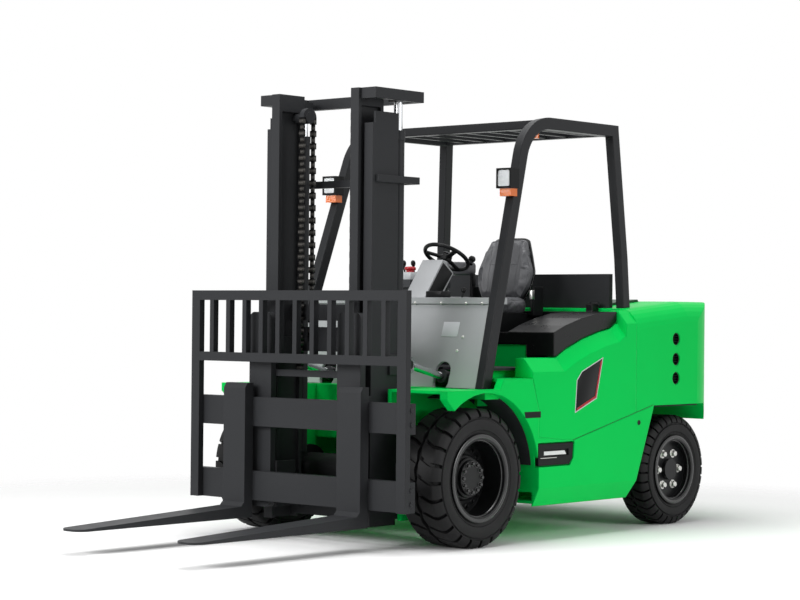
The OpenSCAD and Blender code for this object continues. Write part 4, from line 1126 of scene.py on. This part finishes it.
def piping(mesh, line, cover, r_mm, closed=True):
    """A cord of piping laid on a cover, along points near it."""
    tree = BVHTree.FromPolygons(
        [v.co for v in cover.data.vertices], [list(p.vertices) for p in cover.data.polygons]
    )
    spots = [tree.find_nearest(p)[:2] for p in line]
    last = len(spots) - 1
    turns = [math.tau * n / CORD_SIDES for n in range(CORD_SIDES)]
    rings = []
    for k, (place, out) in enumerate(spots):
        ahead_k, behind_k = ((k + 1) % (last + 1), k - 1) if closed else (min(k + 1, last), max(k - 1, 0))
        along = (spots[ahead_k][0] - spots[behind_k][0]).normalized()
        across = along.cross(out).normalized()
        rings.append(
            [mesh.verts.new(place + (out * math.cos(a) + across * math.sin(a)) * r_mm * MM) for a in turns]
        )
    pairs = list(zip(rings, rings[1:])) + ([(rings[-1], rings[0])] if closed else [])
    for here, there in pairs:
        for n in range(CORD_SIDES):
            mesh.faces.new((here[n - 1], here[n], there[n], there[n - 1]))


def back_line(share, front, steps=6):
    """The outline of the seat back, drawn in by a share and laid at a depth."""
    return [
        on_back(p.x * share, BACK_MIDDLE + (p.y - BACK_MIDDLE) * share, front) for p in rounded(BACK, steps)
    ]


mesh = bmesh.new()
for share, front in BACK_PIPING:
    piping(mesh, back_line(share, front, PIPING_STEPS), seat_back, PIPING)
for left in (-BACK_SEAM, BACK_SEAM):
    line = [on_back(left, BACK_SEAM_FROM + BACK_SEAM_STEP * n, OVER_BACK) for n in SEAM_POINTS]
    piping(mesh, line, seat_back, SEAM, closed=False)
line = [on_back(-BACK_SEAM + CROSS_SEAM_STEP * n, CROSS_SEAM, OVER_BACK) for n in SEAM_POINTS]
piping(mesh, line, seat_back, SEAM, closed=False)
line = [
    at(SEAT_LEFT + p.x * 0.95, BASE_MIDDLE + (p.y - BASE_MIDDLE) * 0.96, 1496)
    for p in rounded(BASE, PIPING_STEPS)
]
piping(mesh, line, seat_base, PIPING)
for left in (-BASE_SEAM, BASE_SEAM):
    line = [at(SEAT_LEFT + left, BASE_SEAM_FROM + BASE_SEAM_STEP * n, OVER_BASE) for n in SEAM_POINTS]
    piping(mesh, line, seat_base, SEAM, closed=False)
as_piece("seat_piping", mesh, black_vinyl, "hood", smooth=60)
print("piping laid")

# %% Seat shell, belt buckle and arm rest
SHELL_STACK = ((0.82, 0), (0.95, 2), (1.0, 10), (1.0, 20), (0.96, 22))
shell_loops = [back_line(share, front) for share, front in SHELL_STACK]
as_piece("seat_shell", stacked_form(shell_loops), shell_abs, "hood")
for name, finish, slot, low, high, push in (
    ("belt_stalk", black_abs, "guard_black", (1226, 1402), (1246, 1502), 8),
    ("belt_buckle", zinc_plate, "bright_steel", (1218, 1488), (1254, 1548), 16),
):
    mesh = bmesh.new()
    prism(mesh, box_outline(SEAT_LEFT + 270, low, high), Vector((push * MM, 0, 0)), 3)
    as_piece(name, mesh, finish, "hood")
ARM_REST = [
    (1090, 1672), (1106, 1650), (1318, 1650), (1332, 1668),
    (1332, 1722), (1316, 1738), (1108, 1736), (1090, 1714),
]
ARM_POST = [(1268, 1470), (1318, 1470), (1316, 1660), (1276, 1660)]
for name, finish, slot, outline, left, wide, soft in (
    ("arm_rest", black_vinyl, "seat_vinyl", ARM_REST, -278, 66, 12),
    ("arm_post", black_abs, "guard_black", ARM_POST, -222, 17, 3),
):
    mesh = bmesh.new()
    prism(mesh, [at(left, b, u) for b, u in outline], Vector((wide * MM, 0, 0)), soft)
    as_piece(name, mesh, finish, "hood")
print("seat finished")

# %% [markdown]
# ## Lift chains
#
# Each leaf chain runs from the carriage up over a sheave on the inner mast and down to an anchor on the outer
# mast. When the truck lifts, the front run gets shorter and the back run longer. Both runs are copies of the
# chain's solids: the front run rides on the carriage, and the back run stays where its solid was.


def chain_run(name, node):
    """A copy of a chain's solid, and the points at the middle of its lower and upper end."""
    run = bpy.data.objects.new(name, nodes[node].data.copy())
    bpy.context.scene.collection.objects.link(run)
    run.matrix_world = nodes[node].matrix_world
    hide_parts(node)
    low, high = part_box(node)
    middle = (low + high) / 2
    return run, Vector((middle.x, middle.y, low.z)), Vector((middle.x, middle.y, high.z))


front_run, anchor, sheave = chain_run("front_chain_run", "chain_front")
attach(front_run, "carriage")
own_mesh(front_run)
back_run, anchor, sheave = chain_run("back_chain_run", "chain_back")
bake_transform(back_run)

# %% [markdown]
# ## Floor, light and camera
#
# The floor is white and fades out to a white surround a few metres away, so that only the truck's soft
# shadow shows on it. Large soft lamps above, in front and at the side light it as in a studio. The camera
# stands about thirteen metres off, low, and looks across the truck's front corner through a long lens.

# %% Floor, surround and lamps
def studio_floor(name, size, fade_from, fade_to):
    """A matt plane that turns clear between two distances from its middle, in metres."""
    finish = new_finish(name)
    place = add(finish, "ShaderNodeTexCoord").outputs["Object"]
    away = add(finish, "ShaderNodeVectorMath", {"operation": "LENGTH"}, Vector=place)
    fade = add(finish, "ShaderNodeMapRange", Value=away.outputs["Value"])
    fade.inputs["From Min"].default_value = fade_from
    fade.inputs["From Max"].default_value = fade_to
    speck = add(finish, "ShaderNodeTexNoise", Vector=place, Scale=grain(30), Detail=2)
    tone = add(
        finish, "ShaderNodeMixRGB", Fac=speck.outputs["Fac"], Color1=srgb("#fdfdfd"), Color2=srgb("#fafafa")
    )
    matt = add(finish, "ShaderNodeBsdfDiffuse", Color=tone.outputs["Color"])
    open_air = add(finish, "ShaderNodeBsdfTransparent")
    mix = add(finish, "ShaderNodeMixShader", Fac=fade.outputs["Result"])
    finish.node_tree.links.new(matt.outputs["BSDF"], mix.inputs[1])
    finish.node_tree.links.new(open_air.outputs["BSDF"], mix.inputs[2])
    add(finish, "ShaderNodeOutputMaterial", Surface=mix.outputs["Shader"])
    bpy.ops.mesh.primitive_plane_add(size=size)
    floor = bpy.context.object
    floor.name = "studio_floor"
    floor.data.materials.append(finish)


def white_surround(strength):
    """White to the camera and in reflections, and a softer fill for everything else."""
    world = bpy.data.worlds.new("white_surround")
    bpy.context.scene.world = world
    world.use_nodes = True
    world.node_tree.nodes.clear()
    path = add(world, "ShaderNodeLightPath")
    seen = path.outputs["Is Camera Ray"]
    for ray in ("Is Glossy Ray", "Is Transmission Ray"):
        either = add(world, "ShaderNodeMath", {"operation": "MAXIMUM"})
        world.node_tree.links.new(seen, either.inputs[0])
        world.node_tree.links.new(path.outputs[ray], either.inputs[1])
        seen = either.outputs["Value"]
    level = add(world, "ShaderNodeMapRange", Value=seen)
    level.inputs["To Min"].default_value = strength
    level.inputs["To Max"].default_value = 1.0
    sky = add(world, "ShaderNodeBackground", Color=(1, 1, 1, 1), Strength=level.outputs["Result"])
    add(world, "ShaderNodeOutputWorld", Surface=sky.outputs["Background"])


def soft_lamp(name, place, target, size, watts):
    """A rectangular lamp at a place, turned towards a target."""
    lamp = bpy.data.lights.new(name, "AREA")
    lamp.shape = "RECTANGLE"
    lamp.size, lamp.size_y = size
    lamp.energy = watts
    obj = bpy.data.objects.new(name, lamp)
    obj.location = place
    obj.rotation_euler = (Vector(target) - Vector(place)).to_track_quat("-Z", "Y").to_euler()
    bpy.context.scene.collection.objects.link(obj)


studio_floor("white_floor", size=60, fade_from=2.6, fade_to=5.2)
white_surround(strength=0.3)
middle = (0, 0, 1.2)
soft_lamp("top_lamp", (0, 0, 7), middle, (5, 5), 360)
soft_lamp("front_lamp", (-1.5, -9, 4.5), middle, (5, 4), 760)
soft_lamp("side_lamp", (9, 1.5, 4), middle, (4, 5), 265)
print("studio lit")

# %% Camera
CAMERA_PLACE = Vector((9.0639, axle_y - 9.9706, 1.3873))
AZIMUTH = math.radians(41.386)
UPWARD = math.radians(0.359)
ROLL = math.radians(0.536)
FOCAL_PIXELS = 2171.4
PHOTO_WIDTH = 800
SENSOR_WIDTH = 36

camera_data = bpy.data.cameras.new("photo_camera")
camera_data.sensor_width = SENSOR_WIDTH
camera_data.lens = SENSOR_WIDTH * FOCAL_PIXELS / PHOTO_WIDTH
camera = bpy.data.objects.new("photo_camera", camera_data)
bpy.context.scene.collection.objects.link(camera)
ahead = Vector(
    (-math.sin(AZIMUTH) * math.cos(UPWARD), math.cos(AZIMUTH) * math.cos(UPWARD), math.sin(UPWARD))
)
level_right = Vector((math.cos(AZIMUTH), math.sin(AZIMUTH), 0))
level_up = level_right.cross(ahead)
right = level_right * math.cos(ROLL) + level_up * math.sin(ROLL)
up = right.cross(ahead)
turn = Matrix((right, up, -ahead)).transposed().to_4x4()
camera.matrix_world = Matrix.Translation(CAMERA_PLACE) @ turn
bpy.context.scene.camera = camera
bpy.context.scene.view_settings.view_transform = "Standard"
print("camera lens", round(camera_data.lens, 1), "mm")
